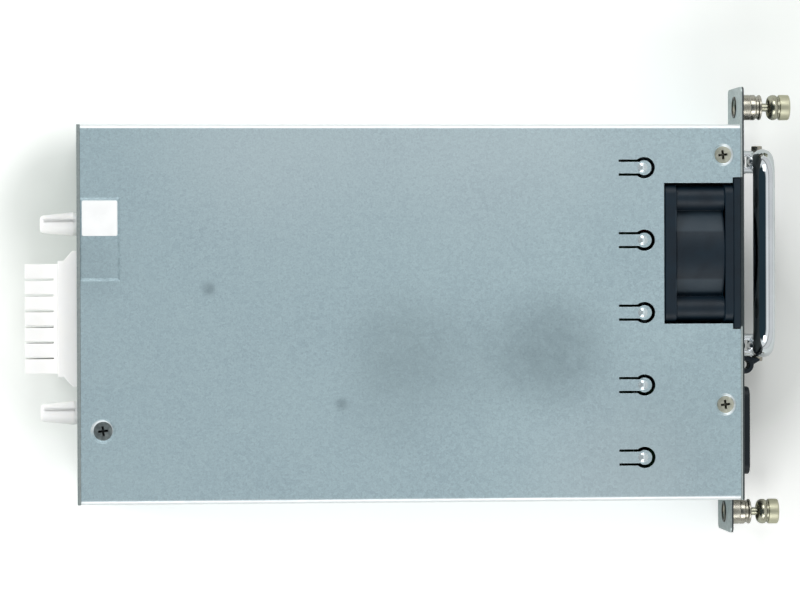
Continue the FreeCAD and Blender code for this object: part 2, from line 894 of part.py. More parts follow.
def make_fan_rotor():
    """The impeller: a hub cup with twisted blades."""
    cup = fan_axis_rod(fan_hub_radius, fan_hub_length, hub_back)
    hollow = fan_axis_rod(fan_hub_radius - fan_hub_wall, fan_hub_length - fan_hub_face, hub_back)
    boss_back = hub_front - fan_hub_wall - fan_boss_length
    cup = join([cup.cut(hollow), fan_axis_rod(fan_shaft_boss, fan_boss_length, boss_back)])
    root = fan_hub_radius - fan_blade_root_depth
    tip = fan_bore_radius - fan_blade_tip_gap
    middle = (root + tip) / 2
    middle_pitch = (fan_blade_root_pitch + fan_blade_tip_pitch) / 2
    blade = Part.makeLoft([
        blade_section(root, fan_blade_root_pitch),
        blade_section(middle, middle_pitch),
        blade_section(tip + fan_blade_over_tip, fan_blade_tip_pitch),
    ], True, False)
    sweep = fan_axis_rod(tip, fan_hub_length, hub_back)
    sweep = sweep.cut(fan_axis_rod(root, fan_hub_length, hub_back))
    blade = blade.common(sweep)
    blades = []
    for index in range(fan_blade_count):
        turned = blade.copy()
        turned.rotate(Vector(0, fan_centre_y, fan_centre_z), AXIS_X, 360 / fan_blade_count * index)
        blades.append(turned)
    rotor = join([cup] + blades)
    return rotor.cut(fan_axis_rod(fan_shaft_radius + pin_gap, fan_boss_length, boss_back))


def make_fan_shaft():
    """The steel shaft from the hub down into the bearing."""
    start = fan_back + fan_motor_plate
    return fan_axis_rod(fan_shaft_radius, hub_front - fan_hub_wall - start, start)


def make_fan_bearing():
    """The bronze sleeve in the motor barrel."""
    length = fan_coil_length + fan_motor_plate
    start = fan_back + fan_motor_plate
    return pipe(fan_bearing_radius, fan_shaft_radius + pin_gap, length, start, fan_centre_y, fan_centre_z, AXIS_X)


def make_fan_magnet():
    """The magnet ring inside the hub cup."""
    outer = fan_hub_radius - fan_hub_wall - pin_gap
    return pipe(outer, outer - fan_magnet_wall, fan_coil_length + fan_pole_web, hub_back + fan_pole_web,
                fan_centre_y, fan_centre_z, AXIS_X)


def make_fan_stator():
    """The wound stator on the motor barrel."""
    outer = fan_hub_radius - fan_hub_wall - fan_magnet_wall - fan_air_gap
    inner = fan_bearing_radius + fan_bearing_wall + pin_gap
    start = fan_back + fan_motor_plate
    core = pipe(outer, inner, fan_coil_length, start, fan_centre_y, fan_centre_z, AXIS_X)
    slots = []
    for index in range(fan_pole_count):
        slot = box(start, start + fan_coil_length, fan_centre_y - fan_pole_slot / 2,
                   fan_centre_y + fan_pole_slot / 2, fan_centre_z + inner + fan_pole_web,
                   fan_centre_z + outer + fan_pole_web)
        slots.append(slot.rotate(Vector(0, fan_centre_y, fan_centre_z), AXIS_X, 360 / fan_pole_count * index))
    return take(core, slots)


def make_fan_guard():
    """The black guard: a thin frame with rings held by a cross of spokes."""
    half_z = fan_size / 2
    frame = box(guard_back, front_edge, fan_centre_y - guard_width / 2, fan_centre_y + guard_width / 2,
                fan_centre_z - half_z, fan_centre_z + half_z)
    frame = frame.cut(fan_axis_rod(panel_fan_hole_radius - guard_rim_overlap, guard_thickness, guard_back))
    pieces = [frame, fan_axis_rod(guard_hub_radius, guard_thickness, guard_back)]
    pitch = (panel_fan_hole_radius - guard_hub_radius) / (guard_ring_count + 1)
    for index in range(guard_ring_count):
        outer = guard_hub_radius + pitch * (index + 1)
        pieces.append(pipe(outer, outer - guard_ring_width, guard_thickness, guard_back, fan_centre_y,
                           fan_centre_z, AXIS_X))
    half = guard_spoke_width / 2
    for turn in (45, 135):
        spoke = box(guard_back, front_edge, fan_centre_y - half, fan_centre_y + half,
                    fan_centre_z - panel_fan_hole_radius, fan_centre_z + panel_fan_hole_radius)
        pieces.append(spoke.rotate(Vector(0, fan_centre_y, fan_centre_z), AXIS_X, turn))
    guard = join(pieces)
    holes = [rod(fan_screw_radius() + pin_gap, guard_thickness, guard_back, y, z, AXIS_X)
             for y, z in fan_corner_places()]
    return take(guard, holes)


def fan_screw_radius():
    """The fan screws bite into the fan's corner holes."""
    return fan_hole_radius - pin_gap


def fan_screw(y, z, gap):
    """A countersunk screw through the panel and guard into a fan corner, grown by a gap."""
    radius = fan_screw_radius()
    head = cone(radius + gap, radius + panel_sheet + gap, panel_sheet, front_edge, y, z, AXIS_X)
    shank = rod(radius + gap, guard_thickness + fan_screw_depth, fan_front - fan_screw_depth, y, z, AXIS_X)
    return join([head, shank])


def make_fan_screws():
    """The four fan screws."""
    return [fan_screw(y, z, 0) for y, z in fan_corner_places()]


# Handle

def bail_upright():
    """The bent rod of the handle, standing straight up over its pivots."""
    half = bail_leg_spacing / 2
    top = bail_pivot_height + bail_reach
    arc_z = top - bail_bend_radius
    pieces = []
    for side in (-1, 1):
        y = fan_centre_y + side * half
        start = bail_pivot_height + bail_leg_start
        pieces.append(rod(bail_rod_radius, arc_z - start, pivot_x, y, start, AXIS_Z))
        tongue_half = bail_tongue_thickness / 2
        pieces.append(box(pivot_x - bail_rod_radius, pivot_x + bail_rod_radius, y - tongue_half, y + tongue_half,
                          bail_pivot_height, start))
        pieces.append(rod(bail_rod_radius, bail_tongue_thickness, pivot_x, y - tongue_half,
                          bail_pivot_height, AXIS_Y))
        inward = y - side * bail_bend_radius
        elbow = Part.makeTorus(bail_bend_radius, bail_rod_radius, Vector(0, 0, 0), AXIS_Z, 0, 360, 90)
        elbow.rotate(Vector(0, 0, 0), AXIS_Y, -90)
        if side < 0:
            elbow.rotate(Vector(0, 0, 0), AXIS_X, 90)
        elbow.translate(Vector(pivot_x, inward, arc_z))
        pieces.append(elbow)
    span = bail_leg_spacing - 2 * bail_bend_radius
    pieces.append(rod(bail_rod_radius, span, pivot_x, fan_centre_y - span / 2, top, AXIS_Y))
    return join(pieces)


def make_bail():
    """The chrome handle as the photograph shows it, leaning back to the panel."""
    bail = bail_upright()
    holes = []
    for y in post_places():
        holes.append(rod(pivot_pin_radius + pin_gap, 2 * bail_tongue_thickness, pivot_x,
                         y - bail_tongue_thickness, bail_pivot_height, AXIS_Y))
    bail = take(bail, holes)
    bail.rotate(Vector(pivot_x, 0, bail_pivot_height), AXIS_Y, -bail_lean)
    return bail


def make_post(y):
    """A chrome post with a forked, rounded end that holds one leg of the handle."""
    z = bail_pivot_height
    shank = rod(post_radius, pivot_x - panel_front, panel_front, y, z, AXIS_X)
    nose = rod(post_radius, 2 * post_radius, pivot_x, y - post_radius, z, AXIS_Y)
    nose = nose.common(rod(post_radius, 3 * post_radius, pivot_x - post_radius, y, z, AXIS_X))
    stud_start = front_edge - post_nut_height - post_stud_end
    stud = rod(post_stud_radius, panel_front - stud_start, stud_start, y, z, AXIS_X)
    post = join([shank, nose, stud])
    slot_half = bail_tongue_thickness / 2 + post_slot_gap
    slot_depth = bail_rod_radius + post_slot_run
    far = pivot_x + 2 * post_radius
    cutters = [
        box(pivot_x - slot_depth, far, y - slot_half, y + slot_half, z - 2 * post_radius, z + 2 * post_radius),
        box(pivot_x - post_radius, far, y + post_flat, y + 2 * post_radius, z - post_radius, z + post_radius),
        box(pivot_x - post_radius, far, y - 2 * post_radius, y - post_flat, z - post_radius, z + post_radius),
        rod(pivot_pin_radius + pin_gap, 4 * post_radius, pivot_x, y - 2 * post_radius, z, AXIS_Y),
    ]
    return take(post, cutters)


def make_pivot_pin(y):
    """A headed pin through a post's fork, with its head on the outer side."""
    side = 1 if y > fan_centre_y else -1
    shank = rod(pivot_pin_radius, 2 * post_flat, pivot_x, y - post_flat, bail_pivot_height, AXIS_Y)
    start = y + post_flat if side > 0 else y - post_flat - pivot_head_height
    head = rod(pivot_head_radius, pivot_head_height, pivot_x, start, bail_pivot_height, AXIS_Y)
    return join([shank, head])


def make_post_nut(y):
    """The hexagon nut on a post's stud, behind the panel."""
    x = front_edge - post_nut_height
    nut = prism(hexagon(post_nut_radius, x, y, bail_pivot_height), Vector(post_nut_height, 0, 0))
    return nut.cut(rod(post_stud_radius + pin_gap, post_nut_height, x, y, bail_pivot_height, AXIS_X))


# Captive thumbscrews

def make_ferrule(y, z):
    """The flanged ferrule pressed into an ear, with a lip that keeps the screw in."""
    groove_x = panel_front + ferrule_length - ferrule_groove_from_end - ferrule_groove_width
    barrel = rod(ferrule_radius, ferrule_length, panel_front, y, z, AXIS_X)
    barrel = barrel.cut(pipe(ferrule_radius + ferrule_groove_depth, ferrule_radius - ferrule_groove_depth,
                             ferrule_groove_width, groove_x, y, z, AXIS_X))
    spigot = rod(ear_hole_radius, panel_sheet, front_edge, y, z, AXIS_X)
    bore_length = ferrule_length + panel_sheet - ferrule_lip
    bore = rod(ferrule_bore_radius, bore_length, front_edge, y, z, AXIS_X)
    neck_hole = rod(screw_neck_radius + screw_neck_gap, ferrule_lip, panel_front + ferrule_length - ferrule_lip,
                    y, z, AXIS_X)
    return take(join([barrel, spigot]), [bore, neck_hole])


def knob_back():
    """Where the knob starts with the screw drawn out."""
    return panel_front + ferrule_length + screw_travel


def make_captive_screw(y, z):
    """The knob, its neck and the threaded end, as one turned piece, drawn out."""
    start = knob_back()
    end = start + knob_length
    thread_end = panel_front + ferrule_length - ferrule_lip
    thread = rod(screw_thread_radius, thread_end - front_edge, front_edge, y, z, AXIS_X)
    neck = rod(screw_neck_radius, start + knob_recess_depth - thread_end, thread_end, y, z, AXIS_X)
    skirt = rod(knob_radius, knob_skirt_length, start, y, z, AXIS_X)
    skirt = skirt.makeChamfer(knob_chamfer, [edge for edge in skirt.Edges
                                             if len(edge.Vertexes) == 1 and edge.CenterOfMass.x < start + 0.01])
    groove = rod(knob_radius - knob_groove_depth, knob_groove_width, start + knob_skirt_length, y, z, AXIS_X)
    drum_start = start + knob_skirt_length + knob_groove_width
    drum = rod(knob_radius, end - drum_start, drum_start, y, z, AXIS_X)
    drum = drum.makeChamfer(knob_chamfer, [edge for edge in drum.Edges
                                           if len(edge.Vertexes) == 1 and edge.CenterOfMass.x > end - 0.01])
    recess = pipe(knob_recess_radius, screw_neck_radius, knob_recess_depth, start, y, z, AXIS_X)
    half = driver_slot_width / 2
    slot = box(end - driver_slot_depth, end, y - knob_radius, y + knob_radius, z - half, z + half)
    return take(join([thread, neck, skirt, groove, drum]), [recess, slot])


def make_friction_ring(y, z):
    """The soft ring inside the knob, which slides with the screw."""
    start = knob_back() + knob_recess_depth - friction_ring_height
    return pipe(friction_ring_radius, screw_neck_radius + pin_gap, friction_ring_height, start, y, z, AXIS_X)


# Mains inlet

def inlet_block(x0, x1, width, height, radius):
    """An upright block of the inlet with rounded corners."""
    return plate_x(x0, x1, width / 2, height / 2, inlet_centre_y, inlet_centre_z, radius)


def inlet_pin_places():
    """Live, neutral and earth pins, as offsets from the middle of the inlet."""
    return [(-inlet_pin_offset, inlet_pin_pitch / 2), (-inlet_pin_offset, -inlet_pin_pitch / 2),
            (inlet_pin_offset, 0)]


def inlet_cavity():
    """The socket: an upright pocket with two cut corners on the side of the earth pin."""
    floor = panel_front + inlet_bezel_proud - inlet_cavity_depth
    half_y = inlet_cavity_width / 2
    half_z = inlet_cavity_height / 2
    cut = inlet_cavity_chamfer
    y = inlet_centre_y
    z = inlet_centre_z
    outline = [
        Vector(floor, y - half_y, z - half_z),
        Vector(floor, y + half_y - cut, z - half_z),
        Vector(floor, y + half_y, z - half_z + cut),
        Vector(floor, y + half_y, z + half_z - cut),
        Vector(floor, y + half_y - cut, z + half_z),
        Vector(floor, y - half_y, z + half_z),
    ]
    return prism(outline, Vector(inlet_cavity_depth, 0, 0))


def inlet_pin(offset_y, offset_z, gap):
    """A flat contact pin with its solder tag behind the inlet, grown by a gap."""
    floor = panel_front + inlet_bezel_proud - inlet_cavity_depth
    back = front_edge - inlet_body_depth
    y = inlet_centre_y + offset_y
    z = inlet_centre_z + offset_z
    half_y = inlet_pin_width / 2 + gap
    half_z = inlet_pin_thickness / 2 + gap
    blade = box(back, floor + inlet_pin_length, y - half_y, y + half_y, z - half_z, z + half_z)
    half_y = inlet_tag_width / 2
    half_z = inlet_tag_thickness / 2
    tag = box(back - inlet_tag_length, back, y - half_y, y + half_y, z - half_z, z + half_z)
    return blade, tag


def make_inlet_body():
    """The black inlet housing: bezel, body and socket."""
    bezel = inlet_block(panel_front, panel_front + inlet_bezel_proud, inlet_bezel_width, inlet_bezel_height,
                        inlet_bezel_radius)
    body = inlet_block(front_edge - inlet_body_depth, panel_front, inlet_body_width, inlet_body_height,
                       inlet_body_radius)
    cutters = [inlet_cavity()]
    for offset_y, offset_z in inlet_pin_places():
        cutters.append(inlet_pin(offset_y, offset_z, pin_gap)[0])
    return take(join([bezel, body]), cutters)


def make_inlet_pins():
    """The three contact pins with their tags."""
    return [join(list(inlet_pin(offset_y, offset_z, 0))) for offset_y, offset_z in inlet_pin_places()]


# Small pieces on the front panel

def make_cord_clip():
    """The black clip: an upright ring with a pointed tail and a barbed foot in the panel."""
    x = panel_front + clip_stem_length + clip_ring_radius
    z0 = clip_z - clip_height / 2
    ring = rod(clip_ring_radius, clip_height, x, clip_y, z0, AXIS_Z)
    tail_z = z0 + clip_tail_inset
    tail_end = x + clip_tail_length
    tail = prism([
        Vector(x, clip_y - clip_ring_radius / 2, tail_z),
        Vector(x + clip_ring_radius, clip_y, tail_z),
        Vector(tail_end, clip_y + clip_tail_side - clip_tail_tip, tail_z),
        Vector(tail_end, clip_y + clip_tail_side + clip_tail_tip, tail_z),
        Vector(x, clip_y + clip_ring_radius, tail_z),
    ], Vector(0, 0, clip_height - 2 * clip_tail_inset))
    stem = rod(clip_stem_radius, x - front_edge, front_edge, clip_y, clip_z, AXIS_X)
    foot = cone(clip_barb_tip_radius, clip_barb_radius, clip_barb_length, front_edge - clip_barb_length, clip_y,
                clip_z, AXIS_X)
    clip = join([ring, tail, stem, foot])
    return clip.cut(rod(clip_ring_hole, clip_height, x, clip_y, z0, AXIS_Z))


def make_status_light():
    """The clear light pipe beside the inlet."""
    pipe_body = rod(light_radius, light_length, panel_front - light_length, light_y, light_z, AXIS_X)
    lens = cone(light_rim, light_radius, light_lens_height, panel_front, light_y, light_z, AXIS_X)
    return join([pipe_body, lens])


# Rear connector

def collar():
    """The tapered collar of the output connector outside the panel."""
    y = connector_centre_y
    base_half = collar_width / 2
    neck_half = collar_neck_width / 2
    x0 = panel_back
    x1 = x0 - collar_base
    x2 = x1 - collar_taper
    x3 = x2 - collar_neck_length
    z0 = connector_centre_z - collar_height / 2
    outline = [
        Vector(x0, y - base_half, z0), Vector(x1, y - base_half, z0), Vector(x2, y - neck_half, z0),
        Vector(x3, y - neck_half, z0), Vector(x3, y + neck_half, z0), Vector(x2, y + neck_half, z0),
        Vector(x1, y + base_half, z0), Vector(x0, y + base_half, z0),
    ]
    return prism(outline, Vector(0, 0, collar_height))


def connector_face():
    """The plane of the connector's outer end."""
    return panel_back - collar_base - collar_taper - collar_neck_length - block_length


def cell_pitch():
    """The spacing of the connector's cells."""
    return block_width / cell_count


def cell_places():
    """The middle of each cell."""
    first = connector_centre_y - cell_pitch() * (cell_count - 1) / 2
    return [first + cell_pitch() * index for index in range(cell_count)]


def make_connector():
    """The white output connector: collar, split finger block and the body on the board."""
    y = connector_centre_y
    face = connector_face()
    neck_end = face + block_length
    half = block_width / 2
    block_z0 = connector_centre_z - block_height / 2
    block_z1 = connector_centre_z + block_height / 2
    block = box(face, neck_end, y - half, y + half, block_z0, block_z1)
    inner_end = rear_edge + connector_body_depth
    inner_half = collar_neck_width / 2
    inner = box(panel_back, inner_end, y - inner_half, y + inner_half, board_top, block_z1)
    grooves = []
    for index in range(cell_count - 1):
        groove_y = cell_places()[index] + cell_pitch() / 2
        grooves.append(box(face, neck_end - cell_groove_end, groove_y - cell_groove / 2,
                           groove_y + cell_groove / 2, block_z0, block_z1))
    cavities = []
    for cell_y in cell_places():
        cavities.append(box(face, face + cell_cavity_depth, cell_y - cell_cavity_width / 2,
                            cell_y + cell_cavity_width / 2, connector_centre_z - cell_cavity_height / 2,
                            connector_centre_z + cell_cavity_height / 2))
        cavities.append(terminal_bar(cell_y, pin_gap))
    return take(join([block, collar(), inner]), grooves + cavities)


def terminal_bar(y, gap):
    """The straight bar of one output terminal, grown by a gap."""
    half_y = terminal_thickness / 2 + gap
    half_z = terminal_height / 2 + gap
    return box(connector_face() + terminal_inset, rear_edge + connector_body_depth + terminal_tail,
               y - half_y, y + half_y, connector_centre_z - half_z, connector_centre_z + half_z)


def make_terminals():
    """The seven output terminals, each with a leg down to the board."""
    terminals = []
    for y in cell_places():
        half = terminal_thickness / 2
        end = rear_edge + connector_body_depth + terminal_tail
        leg = box(end - terminal_tail + sheet_gap, end, y - half, y + half, board_top, connector_centre_z)
        terminals.append(join([terminal_bar(y, 0), leg]))
    return terminals


def make_guide_pin(y):
    """A white tapered guide pin with a narrow root, a rounded tip and a mould rib."""
    z = connector_centre_z
    root_end = panel_back - guide_pin_root_length
    tip_x = panel_back - guide_pin_length
    taper_length = root_end - tip_x - guide_pin_tip_round
    back = Vector(-1, 0, 0)
    root = rod(guide_pin_root_radius, guide_pin_root_length, panel_back, y, z, back)
    taper = cone(guide_pin_base_radius, guide_pin_tip_radius, taper_length, root_end, y, z, back)
    nose = cone(guide_pin_tip_radius, guide_pin_tip_radius - guide_pin_tip_round / 2, guide_pin_tip_round,
                root_end - taper_length, y, z, back)
    rib = box(tip_x + guide_pin_tip_round, root_end, y - guide_pin_rib / 2, y + guide_pin_rib / 2,
              z, z + guide_pin_base_radius + guide_pin_rib)
    limit = cone(guide_pin_base_radius + guide_pin_rib, guide_pin_tip_radius + guide_pin_rib, taper_length,
                 root_end, y, z, back)
    rib = rib.common(limit)
    stud_length = panel_sheet + guide_pin_nut_height + guide_pin_stud_end
    stud = rod(guide_pin_stud_radius, stud_length, panel_back, y, z, AXIS_X)
    return join([root, taper, nose, rib, stud])


def make_guide_nut(y):
    """The nut on a guide pin's stud, inside the rear panel."""
    nut = prism(hexagon(guide_pin_nut_radius, rear_edge, y, connector_centre_z), Vector(guide_pin_nut_height, 0, 0))
    return nut.cut(rod(guide_pin_stud_radius + pin_gap, guide_pin_nut_height, rear_edge, y, connector_centre_z,
                       AXIS_X))


# Main board

def standoff_places():
    """The studs under the main board."""
    x0 = board_rear + standoff_inset + panel_flange_depth
    x1 = board_front - standoff_inset
    y = board_half_width - standoff_inset
    return [(x0, y), (x0, -y), (x1, y), (x1, -y)]


def make_board():
    """The main circuit board."""
    board = box(board_rear, board_front, -board_half_width, board_half_width, board_bottom, board_top)
    holes = [rod(board_screw_radius + pin_gap, board_thickness, x, y, board_bottom, AXIS_Z)
             for x, y in standoff_places()]
    return take(board, holes)


def make_standoffs():
    """The threaded hexagon studs on the tray floor."""
    studs = []
    for x, y in standoff_places():
        stud = prism(upright_hexagon(standoff_radius, x, y, tray_sheet), Vector(0, 0, standoff_height))
        studs.append(stud.cut(rod(board_screw_radius + pin_gap, standoff_height, x, y, tray_sheet, AXIS_Z)))
    return studs


def make_board_screws():
    """The hexagon-headed screws that hold the board down."""
    screws = []
    for x, y in standoff_places():
        head = prism(upright_hexagon(board_screw_head, x, y, board_top), Vector(0, 0, board_screw_head_height))
        shank = rod(board_screw_radius, board_screw_length, x, y, board_top - board_screw_length, AXIS_Z)
        screws.append(join([head, shank]))
    return screws


def make_insulation():
    """The thin insulating sheet on the tray floor, with holes round the studs."""
    x0 = rear_edge + panel_flange_depth
    sheet = box(x0, board_front, -board_half_width, board_half_width, tray_sheet, tray_sheet + insulation_thickness)
    holes = [prism(upright_hexagon(standoff_radius + insulation_hole_gap, x, y, tray_sheet),
                   Vector(0, 0, insulation_thickness)) for x, y in standoff_places()]
    return take(sheet, holes)


def make_bulk_cans():
    """The two large input capacitors behind the fan."""
    return [rod(bulk_radius, bulk_height, bulk_x, y, board_top, AXIS_Z) for y in bulk_ys]


def make_transformer_core():
    """The ferrite core: two outer legs, a round centre post and two end plates."""
    z0 = board_top + board_parts_lift
    half_l = core_length / 2
    half_w = core_width / 2
    block = box(transformer_x - half_l, transformer_x + half_l, transformer_y - half_w, transformer_y + half_w,
                z0, z0 + core_height)
    window_half = half_l - core_leg
    window = box(transformer_x - window_half, transformer_x + window_half, transformer_y - half_w,
                 transformer_y + half_w, z0 + core_plate, z0 + core_height - core_plate)
    post = rod(core_post / 2, core_height - 2 * core_plate, transformer_x, transformer_y, z0 + core_plate, AXIS_Z)
    return join([block.cut(window), post])


def make_transformer_winding():
    """The wound bobbin round the centre post, with its foot on the board."""
    z0 = board_top + board_parts_lift + core_plate + core_window_gap
    height = core_height - 2 * core_plate - 2 * core_window_gap
    outer = core_length / 2 - core_leg - core_window_gap
    coil = pipe(outer, core_post / 2 + core_window_gap / 2, height, transformer_x, transformer_y, z0, AXIS_Z)
    half_w = core_width / 2
    feet = []
    for side in (-1, 1):
        y = transformer_y + side * (half_w + bobbin_foot_gap + bobbin_foot / 2)
        leg = box(transformer_x - outer / 2, transformer_x + outer / 2, y - bobbin_foot / 2, y + bobbin_foot / 2,
                  board_top, z0 + height / 2)
        inner_y = transformer_y + side * (outer - bobbin_reach)
        rail = box(transformer_x - outer / 2, transformer_x + outer / 2, min(y, inner_y), max(y, inner_y),
                   z0 + height / 4, z0 + height / 2)
        feet.append(join([leg, rail]))
    return join([coil] + feet)


def wound_ring(outer, inner, width, x, y, turns):
    """A toroid standing on edge, wound with thick wire and seated on the board."""
    z = board_top + outer
    ring = pipe(outer - wire, inner + wire, width - 2 * wire, x, y - width / 2 + wire, z, AXIS_Y)
    winding = []
    for index in range(turns):
        turn = box(x - wire / 2, x + wire / 2, y - width / 2, y + width / 2, z + inner, z + outer)
        spread = 360 - 2 * wound_gap
        winding.append(turn.rotate(Vector(x, y, z), AXIS_Y, wound_gap + spread / (turns - 1) * index - 180))
    foot_half = outer / 3
    foot = box(x - foot_half, x + foot_half, y - width / 2, y + width / 2, board_top, board_top + 2 * wire)
    return join([ring, foot] + winding)


def heatsink(x, y, length, side):
    """An upright finned plate along X, with its fins to one side."""
    half = length / 2
    top = board_top + sink_height
    plate = box(x - half, x + half, y - sink_thickness / 2, y + sink_thickness / 2, board_top, top)
    pieces = [plate]
    step = (sink_height - sink_fin_thickness - sink_foot) / (sink_fin_count - 1)
    for index in range(sink_fin_count):
        z = board_top + sink_foot + step * index
        if side > 0:
            pieces.append(box(x - half, x + half, y, y + sink_thickness / 2 + sink_fin_length,
                              z, z + sink_fin_thickness))
        else:
            pieces.append(box(x - half, x + half, y - sink_thickness / 2 - sink_fin_length, y,
                              z, z + sink_fin_thickness))
    return join(pieces)


def transistor(x, y_face, side, width, height):
    """A flat power device against a heatsink, with its three leads down to the board."""
    z0 = board_top + transistor_lead
    y0 = min(y_face, y_face + side * transistor_thickness)
    y1 = max(y_face, y_face + side * transistor_thickness)
    body = box(x - width / 2, x + width / 2, y0, y1, z0, z0 + height)
    pieces = [body]
    lead_y = (y0 + y1) / 2
    half = transistor_lead_width / 2
    for offset in (-1, 0, 1):
        lead_x = x + offset * width / 3
        pieces.append(box(lead_x - half, lead_x + half, lead_y - half, lead_y + half, board_top, z0))
    return join(pieces)


def transistor_row(count, x, y_face, side, length):
    """Power devices spaced along one heatsink."""
    step = length / count
    first = x - step * (count - 1) / 2
    return [transistor(first + step * index, y_face, side, transistor_width, transistor_height)
            for index in range(count)]


def make_output_cans():
    """The row of output capacitors across the connector end."""
    first = connector_centre_y - output_can_pitch * (output_can_count - 1) / 2
    cans = []
    for index in range(output_can_count):
        cans.append(rod(output_can_radius, output_can_height, output_can_x, first + output_can_pitch * index,
                        board_top, AXIS_Z))
    return cans


def make_output_choke():
    """The output choke: a windowed core with a flat copper bar bent through it, both on the board."""
    x = output_choke_x
    y = output_choke_y
    half_width = output_choke_width / 2
    window_half = output_choke_length / 4
    window_floor = board_top + output_choke_plate
    core = box(x - output_choke_length / 2, x + output_choke_length / 2, y - half_width, y + half_width,
               board_top, board_top + output_choke_height)
    window = box(x - window_half, x + window_half, y - half_width, y + half_width, window_floor,
                 board_top + output_choke_height - output_choke_plate)
    bar_half = window_half - output_bar_thickness
    bar_floor = window_floor + output_bar_gap
    bar_top = bar_floor + output_bar_thickness
    reach = half_width + output_bar_reach
    bar = box(x - bar_half, x + bar_half, y - reach, y + reach, board_top, bar_top)
    leg_inner = reach - output_bar_thickness
    below = box(x - bar_half, x + bar_half, y - leg_inner, y + leg_inner, board_top, bar_floor)
    return [core.cut(window), bar.cut(below)]


def make_fuse():
    """The ceramic fuse between two end caps, held just above the board."""
    z = board_top + fuse_radius + fuse_clearance
    half = fuse_length / 2
    barrel = rod(fuse_radius - fuse_cap_wall, fuse_length, fuse_x - half, fuse_y, z, AXIS_X)
    caps = []
    for start in (fuse_x - half - fuse_cap_end, fuse_x + half + fuse_cap_end - fuse_cap_length):
        cap = rod(fuse_radius, fuse_cap_length, start, fuse_y, z, AXIS_X)
        clip = box(start + fuse_clip_inset, start + fuse_cap_length - fuse_clip_inset, fuse_y - fuse_radius / 2,
                   fuse_y + fuse_radius / 2, board_top, z)
        caps.append(join([cap, clip]))
    return join([barrel] + caps)


def make_control_board():
    """The upright control card with its chips."""
    x0 = control_board_x - control_board_length / 2
    x1 = control_board_x + control_board_length / 2
    y = control_board_y
    card = box(x0, x1, y, y + control_board_thickness, board_top, board_top + control_board_height)
    chips = []
    step = control_board_length / chip_count
    for index in range(chip_count):
        chip_x = x0 + step * (index + 0.5)
        chips.append(box(chip_x - chip_length / 2, chip_x + chip_length / 2, y - chip_width, y,
                         board_top + chip_lift, board_top + chip_lift + chip_height))
    return join([card] + chips)


def routed_lead(points, radius):
    """A round lead along straight runs joined by arcs that touch them."""
    edges = []
    start = points[0]
    for index in range(1, len(points) - 1):
        before = points[index - 1].sub(points[index])
        after = points[index + 1].sub(points[index])
        shorter = min(before.Length, after.Length)
        reach = lead_bend_share * shorter
        entry_step = Vector(before)
        entry_step.normalize()
        exit_step = Vector(after)
        exit_step.normalize()
        entry = points[index].add(entry_step.multiply(reach))
        leave = points[index].add(exit_step.multiply(reach))
        turn = math.pi - before.getAngle(after)
        bend = reach / math.tan(turn / 2)
        to_centre = before.normalize().add(after.normalize())
        to_centre.normalize()
        centre_distance = math.hypot(bend, reach)
        middle = points[index].add(to_centre.multiply(centre_distance - bend))
        print("lead bend radius", round(bend, 1))
        edges.append(Part.LineSegment(start, entry).toShape())
        edges.append(Part.Arc(entry, middle, leave).toShape())
        start = leave
    edges.append(Part.LineSegment(start, points[-1]).toShape())
    path = Part.Wire(edges)
    first_run = points[1].sub(points[0])
    ring = Part.Wire([Part.makeCircle(radius, points[0], first_run)])
    tube = path.makePipeShell([ring], True, False)
    print("lead volume over section times length",
          round(tube.Volume / (math.pi * radius ** 2 * path.Length), 4))
    return tube


def make_fan_plug():
    """The small plug on the board that takes the fan's lead."""
    return box(fan_plug_x - fan_plug_length / 2, fan_plug_x + fan_plug_length / 2,
               fan_plug_y - fan_plug_width / 2, fan_plug_y + fan_plug_width / 2,
               board_top, board_top + fan_plug_height)


def make_fan_lead():
    """The fan's lead, from the motor plate back and down to the plug."""
    z = fan_centre_z + lead_start_from_axis_z
    return routed_lead([
        Vector(fan_back, fan_plug_y, z),
        Vector(fan_plug_x, fan_plug_y, z),
        Vector(fan_plug_x, fan_plug_y, board_top + fan_plug_height),
    ], lead_radius)


def make_inlet_board():
    """The small upright board that the inlet's tags are soldered to."""
    x1 = board_front - inlet_board_from_front
    x0 = x1 - inlet_board_thickness
    half = inlet_board_width / 2
    card = box(x0, x1, inlet_centre_y - half, inlet_centre_y + half, board_top, board_top + inlet_board_height)
    slots = []
    for offset_y, offset_z in inlet_pin_places():
        y = inlet_centre_y + offset_y
        z = inlet_centre_z + offset_z
        half_y = inlet_tag_width / 2 + inlet_board_hole_gap
        half_z = inlet_tag_thickness / 2 + inlet_board_hole_gap
        slots.append(box(x0, x1, y - half_y, y + half_y, z - half_z, z + half_z))
    return take(card, slots)


def make_film_capacitors():
    """The two boxed filter capacitors beside the inlet."""
    boxes = []
    for y in film_capacitor_ys:
        boxes.append(box(film_capacitor_x - film_capacitor_length / 2, film_capacitor_x + film_capacitor_length / 2,
                         y - film_capacitor_width / 2, y + film_capacitor_width / 2,
                         board_top, board_top + film_capacitor_height))
    return boxes


def make_relay():
    """The inrush relay."""
    return box(relay_x - relay_length / 2, relay_x + relay_length / 2, relay_y - relay_width / 2,
               relay_y + relay_width / 2, board_top, board_top + relay_height)


